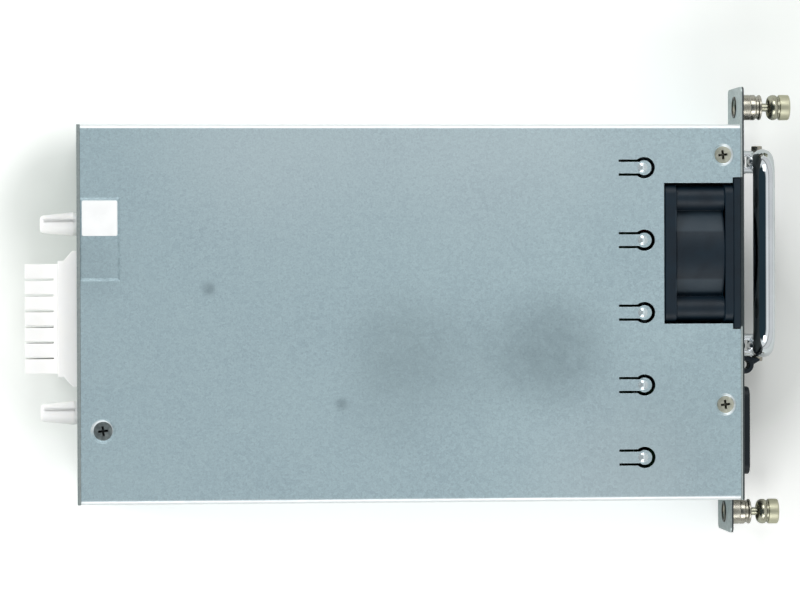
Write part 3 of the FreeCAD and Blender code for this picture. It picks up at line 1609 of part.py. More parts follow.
def main():
    """Build and write every sub-part."""
    os.makedirs("parts", exist_ok=True)
    export("cover", [make_cover()])
    export("cover_screws_front", [countersunk_screw(x, y, front_head_radius) for x, y in front_screw_places()])
    rear_x, rear_y = rear_screw_place()
    export("cover_screw_rear", [countersunk_screw(rear_x, rear_y, rear_head_radius)])
    export("label", [make_sticker()])
    export("base_tray", [make_tray()])
    export("front_panel", [make_front_panel()])
    export("rear_panel", [make_rear_panel()])

    export("fan_frame", [make_fan_frame()])
    export("fan_guard", [make_fan_guard()])
    export("fan_screws", make_fan_screws())
    export("fan_stator", [make_fan_stator()])
    export("fan_bearing", [make_fan_bearing()])
    export("fan_rotor", [make_fan_rotor()])
    export("fan_shaft", [make_fan_shaft()])
    export("fan_magnet", [make_fan_magnet()])

    export("handle_bail", [make_bail()])
    export("handle_posts", [make_post(y) for y in post_places()])
    export("handle_pivot_pins", [make_pivot_pin(y) for y in post_places()])
    export("handle_nuts", [make_post_nut(y) for y in post_places()])

    ear_axes = [("upper", ear_axis_y, upper_ear_centre), ("lower", -ear_axis_y, lower_ear_centre)]
    for name, y, z in ear_axes:
        export("captive_ferrule_" + name, [make_ferrule(y, z)])
        export("captive_screw_" + name, [make_captive_screw(y, z)])
        export("captive_ring_" + name, [make_friction_ring(y, z)])

    export("inlet_body", [make_inlet_body()])
    export("inlet_pins", make_inlet_pins())
    export("cord_clip", [make_cord_clip()])
    export("status_light", [make_status_light()])

    export("output_connector", [make_connector()])
    export("output_terminals", make_terminals())
    export("guide_pins", [make_guide_pin(y) for y in guide_pin_places()])
    export("guide_pin_nuts", [make_guide_nut(y) for y in guide_pin_places()])

    export("main_board", [make_board()])
    export("board_standoffs", make_standoffs())
    export("board_screws", make_board_screws())
    export("insulation_sheet", [make_insulation()])
    export("bulk_capacitors", make_bulk_cans())
    export("transformer_core", [make_transformer_core()])
    export("transformer_winding", [make_transformer_winding()])
    export("boost_choke", [wound_ring(choke_outer, choke_inner, choke_width, choke_x, choke_y, choke_turns)])
    export("filter_choke", [wound_ring(filter_outer, filter_inner, filter_width, filter_x, filter_y,
                                       filter_turns)])
    export("primary_heatsink", [heatsink(primary_sink_x, primary_sink_y, primary_sink_length, -1)])
    export("primary_transistors", transistor_row(primary_transistor_count, primary_sink_x,
                                                 primary_sink_y + sink_thickness / 2, 1, primary_sink_length))
    export("secondary_heatsink", [heatsink(secondary_sink_x, secondary_sink_y, secondary_sink_length, -1)])
    export("secondary_transistors", transistor_row(secondary_transistor_count, secondary_sink_x,
                                                   secondary_sink_y + sink_thickness / 2, 1,
                                                   secondary_sink_length))
    export("output_capacitors", make_output_cans())
    export("output_choke", make_output_choke())
    export("film_capacitors", make_film_capacitors())
    export("inrush_relay", [make_relay()])
    export("input_fuse", [make_fuse()])
    export("control_board", [make_control_board()])
    export("fan_plug", [make_fan_plug()])
    export("fan_lead", [make_fan_lead()])
    export("inlet_board", [make_inlet_board()])


main()
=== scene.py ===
"""Looks of a plug-in switching power supply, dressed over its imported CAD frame.

Points and lengths that functions take are in metres, and MM turns a size written in millimetres into
metres. Turned outlines and the sub-assemblies' own sizes without MM are in millimetres.
"""

import json
import logging
import math
from dataclasses import dataclass
from enum import Enum

import bmesh
import bpy
from mathutils import Matrix, Vector

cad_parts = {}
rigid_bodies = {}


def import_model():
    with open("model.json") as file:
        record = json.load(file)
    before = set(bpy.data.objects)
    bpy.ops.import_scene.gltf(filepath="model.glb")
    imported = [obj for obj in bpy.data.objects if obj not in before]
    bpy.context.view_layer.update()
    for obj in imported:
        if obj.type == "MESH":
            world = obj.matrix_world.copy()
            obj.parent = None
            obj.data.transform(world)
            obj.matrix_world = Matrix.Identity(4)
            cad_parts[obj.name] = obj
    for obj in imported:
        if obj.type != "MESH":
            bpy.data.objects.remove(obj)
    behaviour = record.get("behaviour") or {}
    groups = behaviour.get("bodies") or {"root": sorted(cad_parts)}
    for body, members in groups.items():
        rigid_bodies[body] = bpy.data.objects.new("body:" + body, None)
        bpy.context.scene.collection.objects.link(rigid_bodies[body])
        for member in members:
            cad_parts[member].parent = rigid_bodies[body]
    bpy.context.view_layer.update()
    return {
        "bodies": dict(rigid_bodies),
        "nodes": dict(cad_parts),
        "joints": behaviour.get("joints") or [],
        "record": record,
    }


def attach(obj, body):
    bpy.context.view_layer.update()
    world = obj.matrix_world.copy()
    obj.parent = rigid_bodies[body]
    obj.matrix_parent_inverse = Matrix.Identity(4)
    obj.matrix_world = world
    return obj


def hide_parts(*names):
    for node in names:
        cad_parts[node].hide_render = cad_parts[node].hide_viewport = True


MM = 0.001
COVER_TOP = 41.0 * MM
log = logging.getLogger("power_supply")

Colour = tuple[float, float, float]
Point = tuple[float, float, float]
Pair = tuple[float, float]
Socket = bpy.types.NodeSocket
Mesh = bmesh.types.BMesh
Verts = list[bmesh.types.BMVert]
Edges = list[bmesh.types.BMEdge]


class Axis(Enum):
    """The three directions of the frame."""

    X = (1.0, 0.0, 0.0)
    Y = (0.0, 1.0, 0.0)
    Z = (0.0, 0.0, 1.0)


class Operation(Enum):
    """The ways to combine two shader values."""

    ADD = "ADD"
    MULTIPLY = "MULTIPLY"
    MAXIMUM = "MAXIMUM"


class Curve(Enum):
    """The ways to go from one value to another."""

    STRAIGHT = "LINEAR"
    SOFT = "SMOOTHSTEP"
    SOFTER = "SMOOTHERSTEP"


def tint(red: int, green: int, blue: int) -> Colour:
    """Turn a colour as seen on a screen into the linear values that a shader takes.

    Args:
        red: Red from 0 to 255.
        green: Green from 0 to 255.
        blue: Blue from 0 to 255.

    Returns:
        The same colour in linear light.
    """
    values = []
    for level in (red, green, blue):
        share = level / 255
        values.append(share / 12.92 if share <= 0.04045 else ((share + 0.055) / 1.055) ** 2.4)
    return (values[0], values[1], values[2])


# Materials


class Graph:
    """The shader nodes of one material, on the piece's own coordinates in metres."""

    def __init__(self, name: str) -> None:
        """Start a material with its main shader.

        Args:
            name: The material's name.
        """
        self.material = bpy.data.materials.new(name)
        self.material.use_nodes = True
        tree = self.material.node_tree
        self.nodes = tree.nodes
        self.links = tree.links
        self.shader = self.nodes["Principled BSDF"]
        self.place = self.nodes.new("ShaderNodeTexCoord").outputs["Object"]

    def set(self, socket: str, value: float | tuple) -> None:
        """Give one of the shader's sockets one value, a number or a tuple, for the whole surface."""
        self.shader.inputs[socket].default_value = value

    def feed(self, output: Socket, socket: str) -> None:
        """Join a node's output to one of the shader's sockets, given by its name."""
        self.links.new(output, self.shader.inputs[socket])

    def stretched(self, scale: Point) -> Socket:
        """The surface place with each axis scaled, for grain that runs one way.

        Args:
            scale: A factor for each axis.

        Returns:
            The scaled place.
        """
        node = self.nodes.new("ShaderNodeMapping")
        node.inputs["Scale"].default_value = scale
        self.links.new(self.place, node.inputs["Vector"])
        return node.outputs["Vector"]

    def noise(self, size: float, detail: float = 3.0, place: Socket | None = None) -> Socket:
        """Soft random mottle.

        Args:
            size: The size of one patch in metres.
            detail: How many finer layers it has.
            place: Where it is read, or the plain surface place.

        Returns:
            A value round one half.
        """
        node = self.nodes.new("ShaderNodeTexNoise")
        node.inputs["Scale"].default_value = 1 / size
        node.inputs["Detail"].default_value = detail
        self.links.new(place or self.place, node.inputs["Vector"])
        return node.outputs["Fac"]

    def flakes(self, size: float) -> Socket:
        """Random cells, as in zinc spangle, one even value in each.

        Args:
            size: The size of one cell in metres.

        Returns:
            A value from 0 to 1.
        """
        node = self.nodes.new("ShaderNodeTexVoronoi")
        node.inputs["Scale"].default_value = 1 / size
        self.links.new(self.place, node.inputs["Vector"])
        split = self.nodes.new("ShaderNodeSeparateColor")
        self.links.new(node.outputs["Color"], split.inputs["Color"])
        return split.outputs[0]

    def spread(self, value: Socket, low: float, high: float, start: float = 0.3, end: float = 0.7,
               curve: Curve = Curve.STRAIGHT) -> Socket:
        """Map a value from one range to another.

        Args:
            value: The value to map.
            low: The result at the start.
            high: The result at the end.
            start: The value that gives low.
            end: The value that gives high.
            curve: How the result goes from low to high.

        Returns:
            The mapped value.
        """
        node = self.nodes.new("ShaderNodeMapRange")
        node.interpolation_type = curve.value
        node.inputs["From Min"].default_value = start
        node.inputs["From Max"].default_value = end
        node.inputs["To Min"].default_value = low
        node.inputs["To Max"].default_value = high
        self.links.new(value, node.inputs["Value"])
        return node.outputs["Result"]

    def combine(self, how: Operation, first: Socket, second: Socket) -> Socket:
        """Combine two values.

        Args:
            how: What is done with them.
            first: One value.
            second: The other value.

        Returns:
            The result.
        """
        node = self.nodes.new("ShaderNodeMath")
        node.operation = how.value
        self.links.new(first, node.inputs[0])
        self.links.new(second, node.inputs[1])
        return node.outputs[0]

    def sum(self, first: Socket, second: Socket) -> Socket:
        """Add two values."""
        return self.combine(Operation.ADD, first, second)

    def both(self, first: Socket, second: Socket) -> Socket:
        """Multiply two values, so that the result shows only where both do."""
        return self.combine(Operation.MULTIPLY, first, second)

    def either(self, first: Socket, second: Socket) -> Socket:
        """Keep the larger of two values, so that the result shows where one of them does."""
        return self.combine(Operation.MAXIMUM, first, second)

    def inverse(self, value: Socket) -> Socket:
        """Turn one into nothing and nothing into one."""
        return self.spread(value, 1.0, 0.0, 0.0, 1.0)

    def share(self, value: Socket, most: float) -> Socket:
        """Scale a value from nothing to one down to its largest share."""
        return self.spread(value, 0.0, most, 0.0, 1.0)

    def near(self, point: Point, reach: float) -> Socket:
        """How close the surface is to a point, falling off smoothly.

        Args:
            point: The point in metres.
            reach: The distance at which it reaches nothing.

        Returns:
            One at the point, and nothing past the reach.
        """
        node = self.nodes.new("ShaderNodeVectorMath")
        node.operation = "DISTANCE"
        node.inputs[1].default_value = point
        self.links.new(self.place, node.inputs[0])
        return self.spread(node.outputs["Value"], 1.0, 0.0, 0.0, reach, Curve.SOFTER)

    def strip(self, axis: Axis, start: float, end: float, mirrored: bool = False) -> Socket:
        """How far the surface lies past a plane, rising smoothly.

        Args:
            axis: The axis across the plane.
            start: Where it starts to rise, in metres.
            end: Where it reaches one.
            mirrored: Whether both sides of the middle count.

        Returns:
            Nothing before the start and one past the end.
        """
        split = self.nodes.new("ShaderNodeSeparateXYZ")
        self.links.new(self.place, split.inputs[0])
        value = split.outputs[axis.name]
        if mirrored:
            size = self.nodes.new("ShaderNodeMath")
            size.operation = "ABSOLUTE"
            self.links.new(value, size.inputs[0])
            value = size.outputs[0]
        return self.spread(value, 0.0, 1.0, start, end, Curve.SOFT)

    def within(self, axis: Axis, start: float, end: float, soft: float) -> Socket:
        """Whether the surface lies between two planes.

        Args:
            axis: The axis across the planes.
            start: The lower plane, in metres.
            end: The upper plane.
            soft: How wide the change at each plane is.

        Returns:
            One between the planes and nothing outside.
        """
        rise = self.strip(axis, start - soft / 2, start + soft / 2)
        fall = self.inverse(self.strip(axis, end - soft / 2, end + soft / 2))
        return self.both(rise, fall)

    def blend(self, fac: Socket, first: Colour | Socket, second: Colour | Socket) -> Socket:
        """Blend two colours by a value.

        Args:
            fac: Nothing for the first colour, one for the second.
            first: A colour or a socket with one.
            second: A colour or a socket with one.

        Returns:
            The blended colour.
        """
        node = self.nodes.new("ShaderNodeMix")
        node.data_type = "RGBA"
        self.links.new(fac, node.inputs[0])
        for index, colour in ((6, first), (7, second)):
            if isinstance(colour, tuple):
                node.inputs[index].default_value = (*colour, 1.0)
            else:
                self.links.new(colour, node.inputs[index])
        return node.outputs[2]

    def bump(self, height: Socket, depth: float) -> None:
        """Raise and lower the surface for the light.

        Args:
            height: The relief from 0 to 1.
            depth: How deep the relief is, in metres.
        """
        node = self.nodes.new("ShaderNodeBump")
        node.inputs["Distance"].default_value = depth
        node.inputs["Strength"].default_value = 1.0
        self.links.new(height, node.inputs["Height"])
        self.feed(node.outputs["Normal"], "Normal")


@dataclass(frozen=True)
class Finish:
    """A plain finish with mottled colour, uneven gloss and a fine relief."""

    name: str
    colour: Colour
    shade: Colour
    roughness: float = 0.5
    metallic: float = 0.0
    patch: float = 6 * MM
    grain: float = 0.3 * MM
    relief: float = 0.01 * MM
    uneven: float = 0.06
    specular: float = 0.5

    def build(self) -> bpy.types.Material:
        """Make the material.

        Returns:
            The material, ready to be worn.
        """
        graph = Graph(self.name)
        graph.set("Metallic", self.metallic)
        graph.set("Specular IOR Level", self.specular)
        self.paint(graph)
        return graph.material

    def paint(self, graph: Graph) -> None:
        """Join the colour, gloss and relief.

        Args:
            graph: The material's nodes.
        """
        patches = graph.noise(self.patch)
        fine = graph.noise(self.grain, 4.0)
        graph.feed(graph.blend(graph.spread(patches, 0.0, 1.0), self.colour, self.shade), "Base Color")
        graph.feed(graph.spread(graph.sum(patches, fine), self.roughness - self.uneven,
                                self.roughness + self.uneven, 0.7, 1.3), "Roughness")
        graph.bump(fine, self.relief)


@dataclass(frozen=True)
class ZincSheet(Finish):
    """Galvanised sheet with fine spangle and faint rolling lines, with painted dark reflections, painted highlights
    and painted shade in its slots.
    """

    spangle: float = 0.8 * MM
    rolling: float = 0.5 * MM
    painted_reflections: tuple[tuple[float, float, float, float], ...] = ()
    reflection_colour: Colour = (0.1, 0.1, 0.1)
    painted_sheens: tuple[tuple[float, float, float, float], ...] = ()
    fold: Pair = (0.0, 0.0)
    fold_height: Pair = (38.6 * MM, 39.8 * MM)
    # The pale colour of the painted highlights: the paler patches, the fold band, the dimple crescents and the
    # domes.
    highlight_colour: Colour = (0.8, 0.84, 0.84)
    domes: tuple[Pair, ...] = ()
    dimples: tuple[tuple[float, float, Axis], ...] = ()
    slot_shade_colour: Colour = tint(24, 33, 38)
    slot_span: Pair = (57.0 * MM, 72.0 * MM)
    slot_reach: float = 50.0 * MM

    def paint(self, graph: Graph) -> None:
        """Join spangle, patches, painted dark reflections, painted highlights and rolling lines.

        Args:
            graph: The material's nodes.
        """
        cells = graph.flakes(self.spangle)
        fine = graph.noise(self.grain, 4.0)
        wide = graph.noise(self.patch, 3.0)
        lines = graph.noise(self.rolling, 2.0, graph.stretched((0.02, 1.0, 1.0)))
        mixed = graph.sum(graph.share(cells, 0.34), graph.spread(fine, 0.0, 0.4))
        mixed = graph.sum(mixed, graph.spread(wide, 0.0, 0.26))
        colour = graph.blend(mixed, self.colour, self.shade)
        # Soft dark spots broken by noise: painted reflections of dark things above the sheet.
        for x, y, reach, amount in self.painted_reflections:
            mark = graph.near((x * MM, y * MM, COVER_TOP), reach * MM)
            broken = graph.both(mark, graph.spread(graph.noise(3 * MM), 0.75, 1.2))
            colour = graph.blend(graph.share(broken, amount), colour, self.reflection_colour)
        # Paler patches towards the top and lower right of the sheet: painted light.
        for x, y, reach, amount in self.painted_sheens:
            patch = graph.near((x * MM, y * MM, COVER_TOP), reach * MM)
            colour = graph.blend(graph.share(patch, amount), colour, self.highlight_colour)
        gloss = graph.sum(graph.share(cells, 0.5), graph.spread(wide, 0.0, 0.5))
        rough = graph.spread(gloss, self.roughness - self.uneven, self.roughness + self.uneven, 0.2, 0.9)
        if self.domes:
            colour, rough = self.mark_fingers(graph, colour, rough)
        # A bright crescent beside each screw's dimple: painted highlight.
        for x, y, way in self.dimples:
            colour = graph.blend(self.dimple_highlight(graph, x, y, way), colour, self.highlight_colour)
        # A pale band along each fold of the cover: painted highlight where the bend catches the light.
        if any(self.fold):
            bend = graph.both(graph.strip(Axis.Y, *self.fold, mirrored=True), graph.strip(Axis.Z, *self.fold_height))
            colour = graph.blend(bend, colour, self.highlight_colour)
        graph.feed(colour, "Base Color")
        graph.feed(rough, "Roughness")
        graph.bump(graph.sum(graph.spread(lines, 0.0, 0.5), graph.share(cells, 0.5)), self.relief)

    def dimple_highlight(self, graph: Graph, x: float, y: float, way: Axis) -> Socket:
        """The painted highlight, a bright crescent on the lit slope beside a screw's dimple.

        Args:
            graph: The material's nodes.
            x: The screw's place along the case.
            y: Its place across the case.
            way: The axis towards which the crescent lies, along or across the case.

        Returns:
            One on the crescent.
        """
        spot = graph.near((x - 0.3 * MM, y, COVER_TOP), 5 * MM)
        ring = graph.both(graph.spread(spot, 0.0, 0.72, 0.2, 0.29), graph.spread(spot, 1.0, 0.0, 0.46, 0.54))
        start = x if way is Axis.X else y
        return graph.both(ring, graph.strip(way, start - 1.6 * MM, start + 0.8 * MM))

    def mark_fingers(self, graph: Graph, colour: Socket, rough: Socket) -> tuple[Socket, Socket]:
        """Paint shade on the walls of the keyhole slots, and polish the pressed contact domes, each with a painted
        highlight.

        Args:
            graph: The material's nodes.
            colour: The sheet's colour.
            rough: The sheet's roughness.

        Returns:
            The new colour and roughness.
        """
        # The slot walls below the top face are darkened: painted shade in the slots.
        below = graph.inverse(graph.strip(Axis.Z, COVER_TOP - 0.12 * MM, COVER_TOP - 0.015 * MM))
        walls = graph.both(below, graph.within(Axis.X, *self.slot_span, 0.5 * MM))
        walls = graph.both(walls, graph.within(Axis.Y, -self.slot_reach, self.slot_reach, 0.5 * MM))
        colour = graph.blend(walls, colour, self.slot_shade_colour)
        # Each contact dome is glossier where it is polished, and paler towards white: a painted highlight.
        for x, y in self.domes:
            spot = graph.spread(graph.near((x, y, COVER_TOP + 0.2 * MM), 2.2 * MM), 0.0, 1.0, 0.1, 0.45)
            colour = graph.blend(graph.share(spot, 0.4), colour, self.highlight_colour)
            rough = graph.both(rough, graph.spread(spot, 1.0, 0.36, 0.0, 1.0))
        return colour, rough


@dataclass(frozen=True)
class PlatedMetal(Finish):
    """Plated metal with faint turning lines round an axis or along it."""

    along: Point = (0.05, 1.0, 1.0)

    def paint(self, graph: Graph) -> None:
        """Join the plating's tint, drawn lines and fine pits.

        Args:
            graph: The material's nodes.
        """
        patches = graph.noise(self.patch)
        drawn = graph.noise(self.grain, 3.0, graph.stretched(self.along))
        graph.feed(graph.blend(graph.spread(patches, 0.0, 1.0), self.colour, self.shade), "Base Color")
        graph.feed(graph.spread(drawn, self.roughness - self.uneven, self.roughness + self.uneven), "Roughness")
        graph.bump(drawn, self.relief)


@dataclass(frozen=True)
class TurnedPart(PlatedMetal):
    """Polished turned part with one zone past a plane across its axis in another colour and gloss: on the knobs the
    satin drum, on the ferrules painted shade at the rear.
    """

    zone_edge: Pair = (0.0, 1.0)
    zone_colour: Colour = (0.5, 0.5, 0.5)
    zone_roughness: float = 0.5
    behind: bool = False

    def paint(self, graph: Graph) -> None:
        """Join the plating and the zone's colour and gloss.

        Args:
            graph: The material's nodes.
        """
        super().paint(graph)
        colour = graph.shader.inputs["Base Color"].links[0].from_socket
        rough = graph.shader.inputs["Roughness"].links[0].from_socket
        zone = graph.strip(Axis.X, *self.zone_edge)
        if self.behind:
            zone = graph.inverse(zone)
        graph.feed(graph.blend(zone, colour, self.zone_colour), "Base Color")
        worn = graph.spread(rough, self.zone_roughness - 0.05, self.zone_roughness + 0.05, 0.2, 0.4)
        graph.feed(graph.either(rough, graph.both(zone, worn)), "Roughness")


@dataclass(frozen=True)
class ScrewHead(PlatedMetal):
    """Plated screw head with painted shade in its cross recess."""

    face: float = 40.55 * MM
    recess_shade_colour: Colour = tint(52, 50, 42)

    def paint(self, graph: Graph) -> None:
        """Join the plating and the painted shade in the recess.

        Args:
            graph: The material's nodes.
        """
        super().paint(graph)
        link = graph.shader.inputs["Base Color"].links[0]
        # Below the flat of the head, the recess is darkened: painted shade.
        flat = graph.strip(Axis.Z, self.face - 0.34 * MM, self.face - 0.12 * MM)
        pit = graph.both(graph.inverse(flat), graph.spread(graph.noise(0.3 * MM), 0.75, 1.0))
        graph.feed(graph.blend(pit, link.from_socket, self.recess_shade_colour), "Base Color")


@dataclass(frozen=True)
class ClearLens(Finish):
    """Clear moulded plastic."""

    def paint(self, graph: Graph) -> None:
        """Join the clear body and a slightly uneven gloss.

        Args:
            graph: The material's nodes.
        """
        graph.set("Transmission Weight", 0.85)
        graph.set("IOR", 1.49)
        super().paint(graph)


@dataclass(frozen=True)
class FanFrame(Finish):
    """Black moulded plastic, with two bands of painted sheen on top where the shroud bulges towards the cut-out."""

    far_band: Pair = (23.4 * MM, 29.4 * MM)
    near_band: Pair = (5.8 * MM, 9.6 * MM)
    band_span: Pair = (76.1 * MM, 90.0 * MM)
    band_sheen_colour: Colour = tint(40, 54, 64)

    def paint(self, graph: Graph) -> None:
        """Join the plastic's colour and its bands of painted sheen.

        Args:
            graph: The material's nodes.
        """
        super().paint(graph)
        # Two paler bands on the top of the shroud: painted sheen.
        pale = graph.sum(graph.within(Axis.Y, *self.far_band, 0.8 * MM),
                         graph.within(Axis.Y, *self.near_band, 0.8 * MM))
        pale = graph.both(pale, graph.within(Axis.X, *self.band_span, 0.6 * MM))
        pale = graph.both(pale, graph.strip(Axis.Z, 33 * MM, 35 * MM))
        link = graph.shader.inputs["Base Color"].links[0]
        graph.feed(graph.blend(pale, link.from_socket, self.band_sheen_colour), "Base Color")


@dataclass(frozen=True)
class Nylon(Finish):
    """White moulded nylon, which lets a little light through its thin walls."""

    depth: float = 1.2 * MM

    def paint(self, graph: Graph) -> None:
        """Join the plastic's colour and its soft glow.

        Args:
            graph: The material's nodes.
        """
        graph.set("Subsurface Weight", 0.6)
        graph.set("Subsurface Radius", (1.0, 0.97, 0.92))
        graph.set("Subsurface Scale", self.depth)
        super().paint(graph)


@dataclass(frozen=True)
class PanelSteel(ZincSheet):
    """Panel sheet, plain zinc behind, with a dark satin coat in front that wraps half over its cut edge."""

    edge_colour: Colour = tint(46, 54, 57)
    rear_share: float = 0.32
    guard_span: Pair = (-4.1 * MM, 39.1 * MM)
    coat_start: Pair = (95.42 * MM, 95.55 * MM)

    def paint(self, graph: Graph) -> None:
        """Join the sheet's zinc and its dark coat.

        Args:
            graph: The material's nodes.
        """
        super().paint(graph)
        link = graph.shader.inputs["Base Color"].links[0]
        rear = graph.spread(graph.strip(Axis.X, 0.0, 1 * MM), self.rear_share, 0.0, 0.0, 1.0)
        guard = graph.both(graph.strip(Axis.X, 0.0, 1 * MM), graph.within(Axis.Y, *self.guard_span, 0.5 * MM))
        cut = graph.both(graph.strip(Axis.Z, COVER_TOP - 0.28 * MM, COVER_TOP - 0.1 * MM), graph.sum(rear, guard))
        coat = graph.either(cut, graph.strip(Axis.X, *self.coat_start))
        flecks = graph.spread(graph.noise(0.35 * MM), 0.93, 1.0)
        graph.feed(graph.blend(graph.both(coat, flecks), link.from_socket, self.edge_colour), "Base Color")


FINISHES: tuple[Finish, ...] = (
    ZincSheet("galvanised_cover", tint(191, 214, 220), tint(146, 166, 175), 0.46, 0.5, 30 * MM, 0.45 * MM,
              0.006 * MM, 0.07, reflection_colour=tint(96, 113, 121),
              # The dark spots that follow are painted reflections.
              painted_reflections=((-4, -9, 24, 0.24), (40, -11, 26, 0.4), (-58.5, 7.3, 3.2, 0.5), (-20.5, -26, 3.2, 0.4),
                       (16, -14, 26, 0.16), (-6, -26, 24, 0.13), (78, -30, 40, 0.08), (70, -45, 40, 0.1),
                       (-92, 13, 16, 0.12)),
              # The patches that follow are painted light on the upper part of the cover.
              painted_sheens=((-40, 58, 60, 0.16), (20, 58, 60, 0.16), (60, 55, 45, 0.06), (60, -52, 45, 0.12)),
              fold=(52.7 * MM, 53.6 * MM), highlight_colour=tint(238, 243, 244),
              domes=tuple((66.4 * MM, y * MM) for y in (41.75, 20.875, 0.0, -20.875, -41.75)),
              dimples=((89.9 * MM, 45.45 * MM, Axis.X), (90.5 * MM, -26.65 * MM, Axis.X),
                       (-88.7 * MM, -33.15 * MM, Axis.Y))),
    ZincSheet("galvanised_tray", tint(192, 212, 219), tint(146, 165, 174), 0.46, 0.5, 30 * MM, 0.45 * MM,
              0.006 * MM, 0.07),
    PanelSteel("panel_steel", tint(196, 207, 206), tint(160, 171, 171), 0.42, 0.5, 20 * MM, 0.4 * MM, 0.006 * MM,
              0.07),
    PlatedMetal("nickel", tint(178, 175, 164), tint(152, 149, 137), 0.25, 1.0, 2 * MM, 0.12 * MM, 0.004 * MM,
                0.06, along=(1.0, 0.2, 0.2)),
    TurnedPart("knob_nickel", tint(178, 178, 160), tint(156, 155, 136), 0.27, 1.0, 2 * MM, 0.12 * MM,
               0.004 * MM, 0.07, along=(1.0, 0.2, 0.2), zone_edge=(107.9 * MM, 108.1 * MM),
               zone_colour=tint(190, 189, 165), zone_roughness=0.48),
    # The ferrule's rear, behind the panel, is darkened: painted shade.
    TurnedPart("ferrule_nickel", tint(178, 175, 164), tint(152, 149, 137), 0.25, 1.0, 2 * MM, 0.12 * MM,
               0.004 * MM, 0.06, along=(1.0, 0.2, 0.2), zone_edge=(94.95 * MM, 95.15 * MM),
               zone_colour=tint(62, 60, 52), zone_roughness=0.34, behind=True),
    PlatedMetal("handle_chrome", tint(214, 220, 224), tint(204, 210, 214), 0.07, 1.0, 8 * MM, 0.4 * MM,
                0.0006 * MM, 0.02, along=(1.0, 0.1, 0.1)),
    ScrewHead("screw_nickel", tint(204, 205, 190), tint(176, 178, 163), 0.4, 0.9, 1.2 * MM, 0.15 * MM,
              0.006 * MM, 0.1, along=(1.0, 1.0, 1.0)),
    ScrewHead("black_screw", tint(140, 149, 149), tint(98, 106, 107), 0.42, 0.8, 1.2 * MM, 0.2 * MM, 0.008 * MM, 0.1,
              along=(1.0, 1.0, 1.0), recess_shade_colour=tint(12, 14, 15)),
    Finish("label_paper", tint(246, 248, 248), tint(240, 242, 242), 0.62, 0.0, 4 * MM, 0.15 * MM, 0.006 * MM),
    FanFrame("black_plastic", tint(12, 31, 43), tint(7, 23, 34), 0.5, 0.0, 5 * MM, 0.25 * MM, 0.012 * MM,
             specular=0.34),
    Finish("guard_plastic", tint(15, 33, 44), tint(10, 25, 35), 0.5, 0.0, 5 * MM, 0.25 * MM, 0.012 * MM,
           specular=0.34),
    Finish("impeller_plastic", tint(38, 48, 56), tint(28, 38, 45), 0.44, 0.0, 5 * MM, 0.3 * MM, 0.008 * MM),
    Finish("inlet_plastic", tint(11, 24, 32), tint(7, 17, 24), 0.48, 0.0, 5 * MM, 0.25 * MM, 0.012 * MM,
           specular=0.34),
    PlatedMetal("shaft_steel", tint(190, 192, 194), tint(170, 172, 176), 0.2, 1.0, 2 * MM, 0.2 * MM, 0.002 * MM),
    Finish("magnet_rubber", tint(52, 50, 50), tint(40, 38, 38), 0.7, 0.0, 3 * MM, 0.3 * MM, 0.02 * MM),
    PlatedMetal("bearing_bronze", tint(186, 146, 96), tint(160, 120, 76), 0.36, 1.0, 2 * MM, 0.2 * MM,
                0.006 * MM),
    PlatedMetal("copper_wire", tint(190, 112, 62), tint(160, 84, 42), 0.32, 0.9, 3 * MM, 0.4 * MM, 0.03 * MM,
                along=(1.0, 0.3, 1.0)),
    Finish("soft_ring", tint(30, 30, 32), tint(22, 22, 24), 0.7, 0.0, 2 * MM, 0.2 * MM, 0.01 * MM),
    PlatedMetal("pin_nickel", tint(214, 212, 206), tint(192, 190, 182), 0.24, 1.0, 3 * MM, 0.2 * MM, 0.003 * MM),
    PlatedMetal("contact_brass", tint(206, 176, 112), tint(180, 150, 90), 0.28, 1.0, 3 * MM, 0.2 * MM,
                0.003 * MM),
    ClearLens("clear_lens", tint(214, 224, 214), tint(200, 212, 202), 0.12, 0.0, 2 * MM, 0.2 * MM, 0.002 * MM,
              0.04),
    Nylon("white_nylon", tint(253, 253, 251), tint(249, 249, 246), 0.4, 0.0, 6 * MM, 0.3 * MM, 0.01 * MM),
    Finish("circuit_board", tint(34, 96, 58), tint(26, 80, 48), 0.36, 0.0, 8 * MM, 0.6 * MM, 0.02 * MM),
    Finish("insulation_film", tint(226, 222, 206), tint(214, 210, 192), 0.3, 0.0, 12 * MM, 0.8 * MM, 0.01 * MM),
    Finish("can_sleeve", tint(34, 42, 66), tint(26, 33, 54), 0.3, 0.0, 6 * MM, 0.4 * MM, 0.006 * MM),
    PlatedMetal("can_aluminium", tint(196, 200, 204), tint(178, 182, 188), 0.34, 1.0, 4 * MM, 0.3 * MM,
                0.004 * MM),
    Finish("ferrite", tint(62, 62, 64), tint(48, 48, 50), 0.6, 0.0, 3 * MM, 0.4 * MM, 0.03 * MM),
    PlatedMetal("sink_aluminium", tint(190, 194, 198), tint(170, 174, 180), 0.4, 1.0, 8 * MM, 0.3 * MM,
                0.006 * MM, along=(0.05, 1.0, 1.0)),
    Finish("device_epoxy", tint(34, 34, 36), tint(26, 26, 28), 0.55, 0.0, 3 * MM, 0.25 * MM, 0.015 * MM),
    Finish("film_yellow", tint(216, 170, 40), tint(200, 152, 30), 0.38, 0.0, 5 * MM, 0.3 * MM, 0.008 * MM),
    Finish("relay_blue", tint(36, 84, 150), tint(28, 70, 132), 0.36, 0.0, 5 * MM, 0.3 * MM, 0.008 * MM),
    Finish("fuse_ceramic", tint(226, 222, 210), tint(212, 206, 192), 0.4, 0.0, 3 * MM, 0.3 * MM, 0.008 * MM),
    Finish("lead_sleeve", tint(170, 34, 30), tint(150, 26, 24), 0.42, 0.0, 4 * MM, 0.3 * MM, 0.006 * MM),
)


# Piece making


